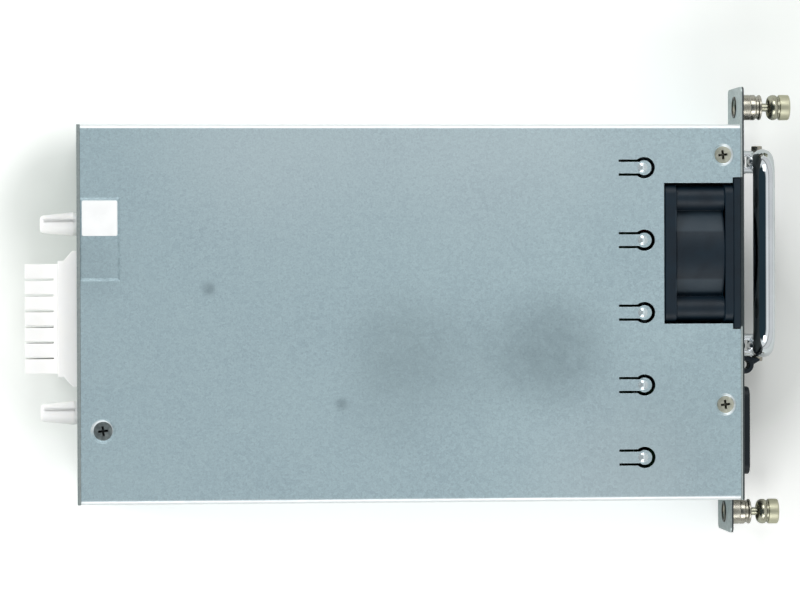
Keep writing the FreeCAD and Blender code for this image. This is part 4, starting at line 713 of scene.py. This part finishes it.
def show(name: str, data: bpy.types.ID) -> bpy.types.Object:
    """Put a mesh, lamp or camera into the scene.

    Args:
        name: The name of the new object.
        data: What the object holds.

    Returns:
        The new object.
    """
    made = bpy.data.objects.new(name, data)
    bpy.context.scene.collection.objects.link(made)
    return made


def finished(name: str, mesh: Mesh) -> bpy.types.Mesh:
    """Turn a mesh that is being made into finished mesh data.

    Args:
        name: The name of the data.
        mesh: The mesh, which can't be used any more.

    Returns:
        The finished data.
    """
    data = bpy.data.meshes.new(name)
    mesh.to_mesh(data)
    mesh.free()
    return data


def round_edges(mesh: Mesh, edges: Edges, width: float, segments: int, clamped: bool = False) -> None:
    """Round edges of a mesh.

    Args:
        mesh: The mesh.
        edges: The edges to round.
        width: The width of the rounding in metres.
        segments: How many strips the rounding has.
        clamped: Whether it stops where two roundings meet.
    """
    bmesh.ops.bevel(mesh, geom=edges, offset=width, offset_type="OFFSET", affect="EDGES", segments=segments,
                    profile=0.5, material=-1, clamp_overlap=clamped)


class Workshop:
    """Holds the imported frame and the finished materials, and turns meshes into dressed pieces."""

    crease = 34.0

    def __init__(self, frame: dict) -> None:
        """Build every finish once.
        """
        self.nodes = frame["nodes"]
        self.body_of_node = {node: body for body, members in frame["record"]["behaviour"]["bodies"].items()
                             for node in members}
        self.materials = {finish.name: finish.build() for finish in FINISHES}

    def slot_of(self, node: str) -> str:
        """The name of the material slot that a CAD node has."""
        return self.nodes[node]["slot_name"]

    def dress_nodes(self) -> None:
        """Give every CAD node the finish of its slot."""
        for node in self.nodes.values():
            for slot in node.material_slots:
                name = slot.material.name.split(".")[0]
                node["slot_name"] = name
                slot.material = self.materials[name]

    def piece(self, name: str, mesh: Mesh, node: str, finish: str = "") -> bpy.types.Object:
        """Turn a finished mesh into a piece that takes the place of a CAD node.

        Args:
            name: The piece's name.
            mesh: Its mesh, in place.
            node: The CAD node that it stands for and rides with.
            finish: The finish that it wears, or the one of the node's slot.

        Returns:
            The new object.
        """
        bmesh.ops.recalc_face_normals(mesh, faces=mesh.faces)
        data = finished(name, mesh)
        made = show(name, data)
        self.smooth(data)
        weights = made.modifiers.new("even_light", "WEIGHTED_NORMAL")
        weights.keep_sharp = True
        weights.weight = 80
        slot = self.slot_of(node)
        data.materials.append(self.materials[finish or slot])
        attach(made, self.body_of_node[node])
        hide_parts(node)
        return made

    def smooth(self, data: bpy.types.Mesh) -> None:
        """Shade a mesh smoothly, apart from its sharp edges."""
        data.shade_smooth()
        data.set_sharp_from_angle(angle=math.radians(self.crease))

    def copy_of(self, node: str) -> Mesh:
        """A merged copy of a CAD node's mesh, with flat faces whole again.

        Args:
            node: The node's name.

        Returns:
            The copy.
        """
        mesh = bmesh.new()
        mesh.from_mesh(self.nodes[node].data)
        bmesh.ops.remove_doubles(mesh, verts=mesh.verts, dist=2e-6)
        bmesh.ops.dissolve_degenerate(mesh, edges=mesh.edges, dist=1e-6)
        bmesh.ops.dissolve_limit(mesh, angle_limit=math.radians(0.5), verts=mesh.verts, edges=mesh.edges)
        return mesh

    def soften(self, node: str, width: float, segments: int = 2, sharp: float = 28.0) -> None:
        """Put a merged copy of a CAD node's mesh, with its sharp edges rounded, in the node's place.

        Args:
            node: The node's name.
            width: The width of the rounding in metres.
            segments: How many strips the rounding has.
            sharp: The angle in degrees above which an edge is rounded.
        """
        mesh = self.copy_of(node)
        limit = math.radians(sharp)
        edges = [edge for edge in mesh.edges if edge.is_manifold and edge.calc_face_angle() > limit]
        round_edges(mesh, edges, width, segments)
        self.piece(node + "_skin", mesh, node)

    def carve(self, piece: bpy.types.Object, cutter: Mesh) -> None:
        """Cut a shape out of a piece and leave plain mesh behind.

        Args:
            piece: The piece.
            cutter: The shape to cut away.
        """
        tool = show("cutter", finished("cutter", cutter))
        weights = piece.modifiers[0]
        shown = weights.show_viewport
        weights.show_viewport = False
        cut = piece.modifiers.new("cut", "BOOLEAN")
        cut.operation = "DIFFERENCE"
        cut.solver = "EXACT"
        cut.use_self = True
        cut.object = tool
        graph = bpy.context.evaluated_depsgraph_get()
        result = bpy.data.meshes.new_from_object(piece.evaluated_get(graph))
        piece.modifiers.remove(cut)
        weights.show_viewport = shown
        piece.data = result
        self.smooth(result)
        bpy.data.objects.remove(tool)


def lathe(profile: list[Pair], centre: Point, axis: Axis, steps: int = 48, mesh: Mesh | None = None) -> Mesh:
    """Spin an outline round an axis into a turned shape.

    Args:
        profile: Pairs of distance along the axis and radius, in millimetres.
        centre: The point that distances start from, in metres.
        axis: The axis of the shape.
        steps: How many strips go round.
        mesh: A mesh to add to, or None for a new one.

    Returns:
        The mesh with the turned shape.
    """
    mesh = mesh or bmesh.new()
    along = Vector(axis.value)
    out = Vector((0.0, 0.0, 1.0)) if axis is not Axis.Z else Vector((1.0, 0.0, 0.0))
    origin = Vector(centre)
    verts = [mesh.verts.new(origin + along * (step * MM) + out * (radius * MM)) for step, radius in profile]
    edges = [mesh.edges.new(pair) for pair in zip(verts, verts[1:])]
    bmesh.ops.spin(mesh, geom=verts + edges, cent=origin, axis=along, angle=2 * math.pi, steps=steps,
                   use_merge=True)
    bmesh.ops.remove_doubles(mesh, verts=mesh.verts, dist=1e-6)
    return mesh


def block(mesh: Mesh, low: Point, high: Point, width: float = 0.0) -> Verts:
    """Add a block between two corners, with its edges rounded.

    Args:
        mesh: The mesh to add to.
        low: The lowest corner, in metres.
        high: The highest corner.
        width: The width of the rounding.

    Returns:
        The corners of the block before it is rounded.
    """
    made = bmesh.ops.create_cube(mesh, size=1.0)["verts"]
    size = Vector(high) - Vector(low)
    bmesh.ops.scale(mesh, vec=size, verts=made)
    bmesh.ops.translate(mesh, vec=(Vector(high) + Vector(low)) / 2, verts=made)
    if width:
        edges = list({edge for vert in made for edge in vert.link_edges})
        round_edges(mesh, edges, width, 3, clamped=True)
    return made


@dataclass
class Casework:
    """The folded sheet cover, the tray, the two end panels and the small label."""

    edge: float = 0.14 * MM
    label_edge: float = 0.03 * MM

    def build(self, shop: Workshop) -> None:
        """Round the edges of every sheet part.

        Args:
            shop: Where pieces are made.
        """
        for node in ("cover", "base_tray", "front_panel", "rear_panel"):
            shop.soften(node, self.edge)
        shop.soften("label", self.label_edge)


@dataclass
class CoverScrews:
    """The countersunk cross-recess screws in the cover."""

    top: float = 40.55
    shank: float = 1.5
    length: float = 5.0
    front_places: tuple[Pair, ...] = ((89.9, 45.45), (90.5, -26.65))
    rear_places: tuple[Pair, ...] = ((-88.7, -33.15),)
    front_head: float = 2.5
    rear_head: float = 2.75
    recess_reach: float = 0.72
    recess_half: float = 0.42
    recess_turn: float = 0.12

    def build(self, shop: Workshop) -> None:
        """Make the two plated screws and the black one.

        Args:
            shop: Where pieces are made.
        """
        self.turn_screws(shop, "cover_screws_front", self.front_places, self.front_head, "screw_nickel")
        self.turn_screws(shop, "cover_screw_rear", self.rear_places, self.rear_head, "black_screw")

    def turn_screws(self, shop: Workshop, node: str, places: tuple[Pair, ...], head: float, finish: str) -> None:
        """Turn the screws of one CAD node and press their cross recesses.

        Args:
            shop: Where pieces are made.
            node: The CAD node.
            places: Their places on the cover, in millimetres.
            head: The radius of the head, in millimetres.
            finish: The name of the head's finish.
        """
        mesh = bmesh.new()
        cutter = bmesh.new()
        cone = head - self.shank
        for x, y in places:
            profile = [(-self.length, 0.0), (-self.length, self.shank), (-cone, self.shank), (-0.22, head - 0.22),
                       (-0.1, head - 0.06), (-0.03, head - 0.1), (0.0, head - 0.24), (0.0, 0.0)]
            lathe(profile, (x * MM, y * MM, self.top * MM), Axis.Z, 48, mesh)
            self.cross(cutter, x, y, head)
        piece = shop.piece(node + "_turned", mesh, node, finish=finish)
        shop.carve(piece, cutter)

    def cross(self, mesh: Mesh, x: float, y: float, head: float) -> None:
        """Add the tapered cross that the recess is pressed with.

        Args:
            mesh: The mesh to add to.
            x: Its place along the case, in millimetres.
            y: Its place across the case.
            head: The radius of the head.
        """
        size = (2 * self.recess_reach * head, 2 * self.recess_half, 1.8)
        for turn in (self.recess_turn, self.recess_turn + math.pi / 2):
            made = bmesh.ops.create_cube(mesh, size=1.0)["verts"]
            bmesh.ops.scale(mesh, vec=size, verts=made)
            low = [vert for vert in made if vert.co.z < 0]
            bmesh.ops.scale(mesh, vec=(0.34, 0.5, 1.0), verts=low)
            bmesh.ops.rotate(mesh, cent=(0, 0, 0), matrix=Matrix.Rotation(turn, 3, "Z"), verts=made)
            bmesh.ops.scale(mesh, vec=(MM, MM, MM), verts=made)
            bmesh.ops.translate(mesh, vec=(x * MM, y * MM, (self.top - 0.25) * MM), verts=made)


@dataclass
class Fan:
    """The fan's housing, guard and impeller."""

    housing_edge: float = 0.28 * MM
    guard_edge: float = 0.2 * MM
    rotor_edge: float = 0.12 * MM
    screw_edge: float = 0.08 * MM

    def build(self, shop: Workshop) -> None:
        """Round the moulded parts.

        Args:
            shop: Where pieces are made.
        """
        shop.soften("fan_frame", self.housing_edge, segments=3)
        shop.soften("fan_guard", self.guard_edge)
        shop.soften("fan_rotor", self.rotor_edge, sharp=50.0)
        shop.soften("fan_screws", self.screw_edge)


@dataclass
class Handle:
    """The chrome bail, bent from round rod, with its posts and pins."""

    rod: float = 3.175
    pivot: Pair = (105.4, 10.0)
    legs: Pair = (44.25, -10.15)
    rise: float = 26.0
    bend: float = 5.6
    lean: float = math.radians(5.9)
    tongue: float = 1.5
    tongue_top: float = 4.7
    bore: float = 1.28
    sides: int = 40
    post_edge: float = 0.22 * MM
    pin_edge: float = 0.3 * MM

    def build(self, shop: Workshop) -> None:
        """Bend the rod, and round the posts and pins.

        Args:
            shop: Where pieces are made.
        """
        self.bend_rod(shop)
        shop.soften("handle_posts", self.post_edge, segments=3)
        shop.soften("handle_pivot_pins", self.pin_edge, segments=3)

    def bend_rod(self, shop: Workshop) -> None:
        """Sweep the rod up one leg, over the bend, along the bar and down the other leg.

        Args:
            shop: Where pieces are made.
        """
        mesh = bmesh.new()
        x, z = (value * MM for value in self.pivot)
        high, low = (value * MM for value in self.legs)
        radius = self.bend * MM
        ring = bmesh.ops.create_circle(mesh, cap_ends=False, radius=self.rod * MM, segments=self.sides)["verts"]
        bmesh.ops.translate(mesh, vec=(x, high, z + self.tongue_top * MM), verts=ring)
        start = list({edge for vert in ring for edge in vert.link_edges})
        straight = (self.rise - self.tongue_top - self.bend) * MM
        edges = self.run(mesh, start, Vector((0, 0, straight)))
        corner = z + (self.rise - self.bend) * MM
        edges = self.elbow(mesh, edges, Vector((x, high - radius, corner)))
        edges = self.run(mesh, edges, Vector((0, low + radius - (high - radius), 0)))
        edges = self.elbow(mesh, edges, Vector((x, low + radius, corner)))
        edges = self.run(mesh, edges, Vector((0, 0, -straight)))
        bmesh.ops.holes_fill(mesh, edges=start + edges, sides=self.sides)
        rims = [edge for edge in mesh.edges if edge.is_manifold and edge.calc_face_angle() > math.radians(60)]
        round_edges(mesh, rims, 0.45 * MM, 3)
        for y in (high, low):
            self.add_tongue(mesh, x, y, z)
        bmesh.ops.rotate(mesh, cent=(x, 0, z), matrix=Matrix.Rotation(-self.lean, 3, "Y"), verts=mesh.verts)
        shop.piece("handle_bail_bent", mesh, "handle_bail")

    def run(self, mesh: Mesh, edges: Edges, step: Vector) -> Edges:
        """Draw an open end of the rod out along a straight line.

        Args:
            mesh: The rod's mesh.
            edges: The edges of its open end.
            step: How far the end moves.

        Returns:
            The edges of the new end.
        """
        made = bmesh.ops.extrude_edge_only(mesh, edges=edges)["geom"]
        verts = [item for item in made if isinstance(item, bmesh.types.BMVert)]
        bmesh.ops.translate(mesh, vec=step, verts=verts)
        return [item for item in made if isinstance(item, bmesh.types.BMEdge)
                and all(vert in verts for vert in item.verts)]

    def elbow(self, mesh: Mesh, edges: Edges, centre: Vector) -> Edges:
        """Spin an open end of the rod a quarter turn.

        Args:
            mesh: The rod's mesh.
            edges: The edges of its open end.
            centre: The centre of the bend.

        Returns:
            The edges of the new end.
        """
        verts = list({vert for edge in edges for vert in edge.verts})
        made = bmesh.ops.spin(mesh, geom=verts + edges, cent=centre, axis=(1, 0, 0), angle=math.pi / 2,
                              steps=14, use_merge=False)["geom_last"]
        return [item for item in made if isinstance(item, bmesh.types.BMEdge)]

    def add_tongue(self, mesh: Mesh, x: float, y: float, z: float) -> None:
        """Add the flattened, round-ended tongue that sits in a post's fork.

        Args:
            mesh: The rod's mesh.
            x: The pivot's place along the case.
            y: The middle of the leg.
            z: The pivot's height.
        """
        half = self.tongue * MM
        reach = self.rod * MM
        block(mesh, (x - reach, y - half, z), (x + reach, y + half, z + (self.tongue_top + 0.4) * MM), 0.2 * MM)
        tongue = self.tongue
        profile = [(-tongue, self.bore), (-tongue, self.rod - 0.25), (-tongue + 0.25, self.rod),
                   (tongue - 0.25, self.rod), (tongue, self.rod - 0.25), (tongue, self.bore), (-tongue, self.bore)]
        lathe(profile, (x, y, z), Axis.Y, 40, mesh)


@dataclass
class Thumbscrews:
    """The two captive thumbscrews: pressed ferrule, turned knob and friction ring."""

    ends: tuple[tuple[str, float, float], ...] = (("upper", 59.55, 30.5), ("lower", -59.55, 12.1))
    knob_start: float = 104.8
    knob_length: float = 6.2
    slot_half: float = 0.45
    slot_depth: float = 1.3
    thread_pitch: float = 0.6
    panel: float = 96.0
    steps: int = 56

    def build(self, shop: Workshop) -> None:
        """Turn both ferrules and both knobs.

        Args:
            shop: Where pieces are made.
        """
        for name, y, z in self.ends:
            self.turn_ferrule(shop, name, y * MM, z * MM)
            self.turn_knob(shop, name, y * MM, z * MM)

    def turn_ferrule(self, shop: Workshop, name: str, y: float, z: float) -> None:
        """Turn the pressed ferrule with its groove and rounded shoulders.

        Args:
            shop: Where pieces are made.
            name: Which thumbscrew it belongs to.
            y: Its axis across the case.
            z: Its axis in height.
        """
        profile = [(-0.6, 1.75), (-0.8, 2.1), (-1.15, 2.4), (-1.3, 2.75), (-1.25, 3.1), (-1.0, 3.2),
                   (0.0, 3.2), (0.0, 3.45), (0.25, 3.7), (3.2, 3.7), (3.35, 3.6), (3.5, 3.6),
                   (3.65, 3.7), (4.75, 3.7), (4.95, 3.55), (5.1, 3.28), (5.7, 3.28), (5.85, 3.5),
                   (6.1, 3.68), (6.4, 3.68), (6.62, 3.5), (6.7, 3.2), (6.7, 1.5), (6.6, 1.32),
                   (5.3, 1.32), (5.3, 1.75), (-0.6, 1.75)]
        mesh = lathe(profile, (self.panel * MM, y, z), Axis.X, self.steps)
        shop.piece("captive_ferrule_" + name + "_turned", mesh, "captive_ferrule_" + name,
                   finish="ferrule_nickel")

    def turn_knob(self, shop: Workshop, name: str, y: float, z: float) -> None:
        """Turn the screw, its neck and the two-part knob, and cut the driver slot.

        Args:
            shop: Where pieces are made.
            name: Which thumbscrew it belongs to.
            y: Its axis across the case.
            z: Its axis in height.
        """
        thread = [(-9.4, 0.0), (-9.4, 1.2), (-9.1, 1.58)]
        step = -8.9
        while step < -4.2:
            thread += [(step, 1.58), (step + self.thread_pitch / 2, 1.3)]
            step += self.thread_pitch
        profile = thread + [(-3.6, 1.58), (-3.5, 1.2), (1.6, 1.2), (1.6, 2.35), (0.15, 2.6), (0.0, 2.75),
                            (0.08, 2.95), (0.4, 3.3), (0.9, 3.57), (1.5, 3.69), (2.0, 3.66), (2.4, 3.5),
                            (2.62, 3.3), (2.7, 3.2), (3.08, 3.2), (3.12, 3.45), (3.28, 3.64), (3.5, 3.7),
                            (5.75, 3.7), (6.0, 3.62), (6.16, 3.42), (6.2, 3.15), (6.2, 0.0)]
        mesh = lathe(profile, (self.knob_start * MM, y, z), Axis.X, self.steps)
        piece = shop.piece("captive_screw_" + name + "_turned", mesh, "captive_screw_" + name)
        cutter = bmesh.new()
        end = (self.knob_start + self.knob_length) * MM
        half = self.slot_half * MM
        block(cutter, (end - self.slot_depth * MM, y - 5 * MM, z - half), (end + MM, y + 5 * MM, z + half))
        shop.carve(piece, cutter)


@dataclass
class FrontFittings:
    """The mains inlet, the cord clip and the status light on the front panel."""

    body_edge: float = 0.4 * MM
    pin_edge: float = 0.25 * MM
    clip_edge: float = 0.3 * MM
    light_edge: float = 0.15 * MM

    def build(self, shop: Workshop) -> None:
        """Round the moulded parts.

        Args:
            shop: Where pieces are made.
        """
        shop.soften("inlet_body", self.body_edge, segments=3)
        shop.soften("inlet_pins", self.pin_edge)
        shop.soften("cord_clip", self.clip_edge, segments=3, sharp=40.0)
        shop.soften("status_light", self.light_edge)


@dataclass
class OutputEnd:
    """The white output connector with its cells, and the two tapered guide pins."""

    face: float = -96.0
    pins: Pair = (26.1, -28.7)
    height: float = 18.5
    ridge: float = 0.9
    connector_edge: float = 0.22 * MM
    terminal_edge: float = 0.12 * MM

    def build(self, shop: Workshop) -> None:
        """Round the connector and turn the guide pins.

        Args:
            shop: Where pieces are made.
        """
        shop.soften("output_connector", self.connector_edge, segments=3)
        shop.soften("output_terminals", self.terminal_edge)
        self.turn_pins(shop)

    def turn_pins(self, shop: Workshop) -> None:
        """Turn the tapered pins, each with a low mould ridge beside the top.

        Args:
            shop: Where pieces are made.
        """
        mesh = bmesh.new()
        profile = [(3.5, 0.0), (3.5, 1.5), (0.0, 1.5), (0.0, 3.15), (-0.15, 3.3), (-1.0, 3.4), (-1.35, 3.5),
                   (-9.2, 2.66), (-9.9, 2.56), (-10.4, 2.35), (-10.7, 2.0), (-10.8, 1.4), (-10.8, 0.0)]
        for y in self.pins:
            lathe(profile, (self.face * MM, y * MM, self.height * MM), Axis.X, 44, mesh)
            self.add_ridge(mesh, y + self.ridge)
        shop.piece("guide_pins_turned", mesh, "guide_pins")

    def add_ridge(self, mesh: Mesh, y: float) -> None:
        """Add the low, round-edged ridge along the top of a pin.

        Args:
            mesh: The pins' mesh.
            y: Its place across the case, in millimetres.
        """
        made = block(mesh, (-105.6 * MM, (y - 0.45) * MM, (self.height + 1.2) * MM),
                     (-96.8 * MM, (y + 0.45) * MM, (self.height + 3.42) * MM))
        tip = [vert for vert in made if vert.co.x < -100 * MM and vert.co.z > (self.height + 2) * MM]
        bmesh.ops.translate(mesh, vec=(0, 0, -0.88 * MM), verts=tip)
        top = [edge for edge in {edge for vert in made for edge in vert.link_edges}
               if all(vert.co.z > (self.height + 2) * MM for vert in edge.verts)]
        round_edges(mesh, top, 0.3 * MM, 4, clamped=True)


# Surroundings


@dataclass
class Studio:
    """A pale floor, soft lamps and a camera above."""

    floor_size: float = 8.0
    floor_colour: Colour = tint(243, 246, 243)
    floor_shade: Colour = tint(214, 219, 215)
    left_shade: Point = (-99 * MM, 31 * MM, 0.0)
    left_shade_reach: float = 40 * MM
    right_shade: Point = (138 * MM, 84 * MM, 0.0)
    right_shade_reach: float = 120 * MM
    left_end: Point = (-92 * MM, -4 * MM, 0.0)
    left_end_reach: float = 74 * MM
    right_end: Point = (97 * MM, -10 * MM, 0.0)
    right_end_reach: float = 62 * MM
    # A painted patch of light on the floor between the panel and the handle's bar.
    handle_glow: Point = (99 * MM, 38 * MM, 0.0)
    glow_reach: float = 26 * MM
    glow_lift: float = 0.2
    beside_lift: float = 0.12
    end_lift: float = 0.03
    side_lift: float = 0.34
    sky_level: float = 0.4
    key_power: float = 10.0
    side_power: float = 5.0
    dark_way: Point = (-0.588, 0.0, 0.809)
    dark_edge: Pair = (0.6, 0.76)
    dark_colour: Colour = (0.022, 0.042, 0.055)
    line_levels: tuple[Pair, ...] = ((0.12, 0.8), (0.17, 0.3), (0.22, 0.3), (0.27, 0.95))
    camera_place: Point = (-85.49 * MM, 12.42 * MM, 1040.3 * MM)
    camera_turn: Point = (-0.00824, -0.0816, -0.0032)
    camera_lens: float = 157.5

    def build(self) -> None:
        """Make everything round the object."""
        self.lay_floor()
        self.light_sky()
        self.hang_lamp("key_lamp", (-1.05, 0.4, 0.95), 0.7, self.key_power, False)
        self.hang_lamp("upper_side_lamp", (0.05, 0.95, 1.0), 0.6, self.side_power)
        self.hang_lamp("lower_side_lamp", (0.05, -0.95, 1.0), 0.6, self.side_power)
        self.set_camera()

    def lay_floor(self) -> None:
        """The pale floor, which keeps the object's shadow and nears white for the camera."""
        mesh = bmesh.new()
        bmesh.ops.create_grid(mesh, x_segments=1, y_segments=1, size=self.floor_size / 2)
        data = finished("floor", mesh)
        data.materials.append(self.paint_floor())
        show("floor", data)

    def paint_floor(self) -> bpy.types.Material:
        """Paint the floor pale and matt, a little darker at both ends of the case, where less light falls.

        Returns:
            The floor's material.
        """
        graph = Graph("floor_paint")
        left = graph.share(graph.near(self.left_shade, self.left_shade_reach), 0.85)
        right = graph.share(graph.near(self.right_shade, self.right_shade_reach), 0.62)
        graph.feed(graph.blend(graph.either(left, right), self.floor_colour, self.floor_shade), "Base Color")
        graph.set("Roughness", 0.9)
        graph.set("Specular IOR Level", 0.1)
        seen = graph.nodes.new("ShaderNodeLightPath").outputs["Is Camera Ray"]
        graph.set("Emission Color", (1.0, 1.0, 1.0, 1.0))
        # The camera-ray glow whitens the floor. Near both ends of the case it is held back, which is painted shade.
        # Beside the lower side and by the handle it is raised, which is painted light.
        ends = graph.either(graph.near(self.left_end, self.left_end_reach),
                            graph.near(self.right_end, self.right_end_reach))
        lift = graph.spread(ends, self.side_lift, self.end_lift, 0.0, 0.7)
        beside = graph.within(Axis.Y, -84 * MM, -46 * MM, 16 * MM)
        beside = graph.both(beside, graph.within(Axis.X, -95 * MM, 110 * MM, 30 * MM))
        lift = graph.sum(lift, graph.share(beside, self.beside_lift))
        lift = graph.both(lift, graph.spread(right, 1.0, 0.25, 0.0, 1.0))
        lift = graph.both(lift, graph.spread(left, 1.0, 0.05, 0.0, 0.6))
        lift = graph.sum(lift, graph.share(graph.near(self.handle_glow, self.glow_reach), self.glow_lift))
        graph.feed(graph.both(seen, lift), "Emission Strength")
        return graph.material

    def light_sky(self) -> None:
        """An even pale sky. Only polished metal shows the dim side of the room, above and to the left."""
        world = bpy.data.worlds.new("room")
        bpy.context.scene.world = world
        world.use_nodes = True
        nodes = world.node_tree.nodes
        links = world.node_tree.links
        plain = nodes["Background"]
        plain.inputs["Color"].default_value = (1.0, 1.0, 1.0, 1.0)
        plain.inputs["Strength"].default_value = self.sky_level
        seen = nodes.new("ShaderNodeBackground")
        place = nodes.new("ShaderNodeTexCoord").outputs["Generated"]
        facing = nodes.new("ShaderNodeVectorMath")
        facing.operation = "DOT_PRODUCT"
        facing.inputs[1].default_value = self.dark_way
        links.new(place, facing.inputs[0])
        ramp = nodes.new("ShaderNodeValToRGB")
        links.new(facing.outputs["Value"], ramp.inputs["Fac"])
        stops = ramp.color_ramp.elements
        stops[0].position, stops[1].position = self.dark_edge
        stops[0].color = (0.95, 0.97, 0.97, 1.0)
        stops[1].color = (*self.dark_colour, 1.0)
        for position, level in self.line_levels:
            stops.new(position).color = (level, level, level, 1.0)
        links.new(ramp.outputs["Color"], seen.inputs["Color"])
        path = nodes.new("ShaderNodeLightPath")
        mix = nodes.new("ShaderNodeMixShader")
        links.new(path.outputs["Is Glossy Ray"], mix.inputs["Fac"])
        links.new(plain.outputs[0], mix.inputs[1])
        links.new(seen.outputs[0], mix.inputs[2])
        white = nodes.new("ShaderNodeBackground")
        final = nodes.new("ShaderNodeMixShader")
        links.new(path.outputs["Is Camera Ray"], final.inputs["Fac"])
        links.new(mix.outputs[0], final.inputs[1])
        links.new(white.outputs[0], final.inputs[2])
        white.inputs["Color"].default_value = (1.0, 1.0, 1.0, 1.0)
        links.new(final.outputs[0], nodes["World Output"].inputs["Surface"])

    def hang_lamp(self, name: str, place: Point, size: float, power: float, mirrored: bool = True) -> None:
        """A soft square lamp that faces the object.

        Args:
            name: The lamp's name.
            place: Where it hangs.
            size: The length of its side.
            power: Its power.
            mirrored: Whether it shows in polished metal.
        """
        data = bpy.data.lights.new(name, "AREA")
        data.size = size
        data.energy = power
        lamp = show(name, data)
        lamp.location = place
        lamp.visible_glossy = mirrored
        lamp.rotation_euler = (Vector((0, 0, 0)) - Vector(place)).to_track_quat("-Z", "Y").to_euler()

    def set_camera(self) -> None:
        """The camera at the photograph's place."""
        data = bpy.data.cameras.new("photo_camera")
        data.lens = self.camera_lens
        data.sensor_width = 36.0
        data.clip_start = 0.01
        data.clip_end = 20.0
        camera = show("photo_camera", data)
        camera.location = self.camera_place
        camera.rotation_euler = self.camera_turn
        bpy.context.scene.camera = camera


def main() -> None:
    """Load the frame, dress it and set the scene."""
    logging.basicConfig(level=logging.INFO, format="%(message)s")
    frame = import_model()
    bpy.context.scene.view_settings.view_transform = "Standard"
    shop = Workshop(frame)
    shop.dress_nodes()
    for part in (Casework(), CoverScrews(), Fan(), Handle(), Thumbscrews(), FrontFittings(), OutputEnd()):
        part.build(shop)
        log.info("built %s", type(part).__name__)
    Studio().build()
    log.info("set the studio")


if __name__ == "__main__":
    main()
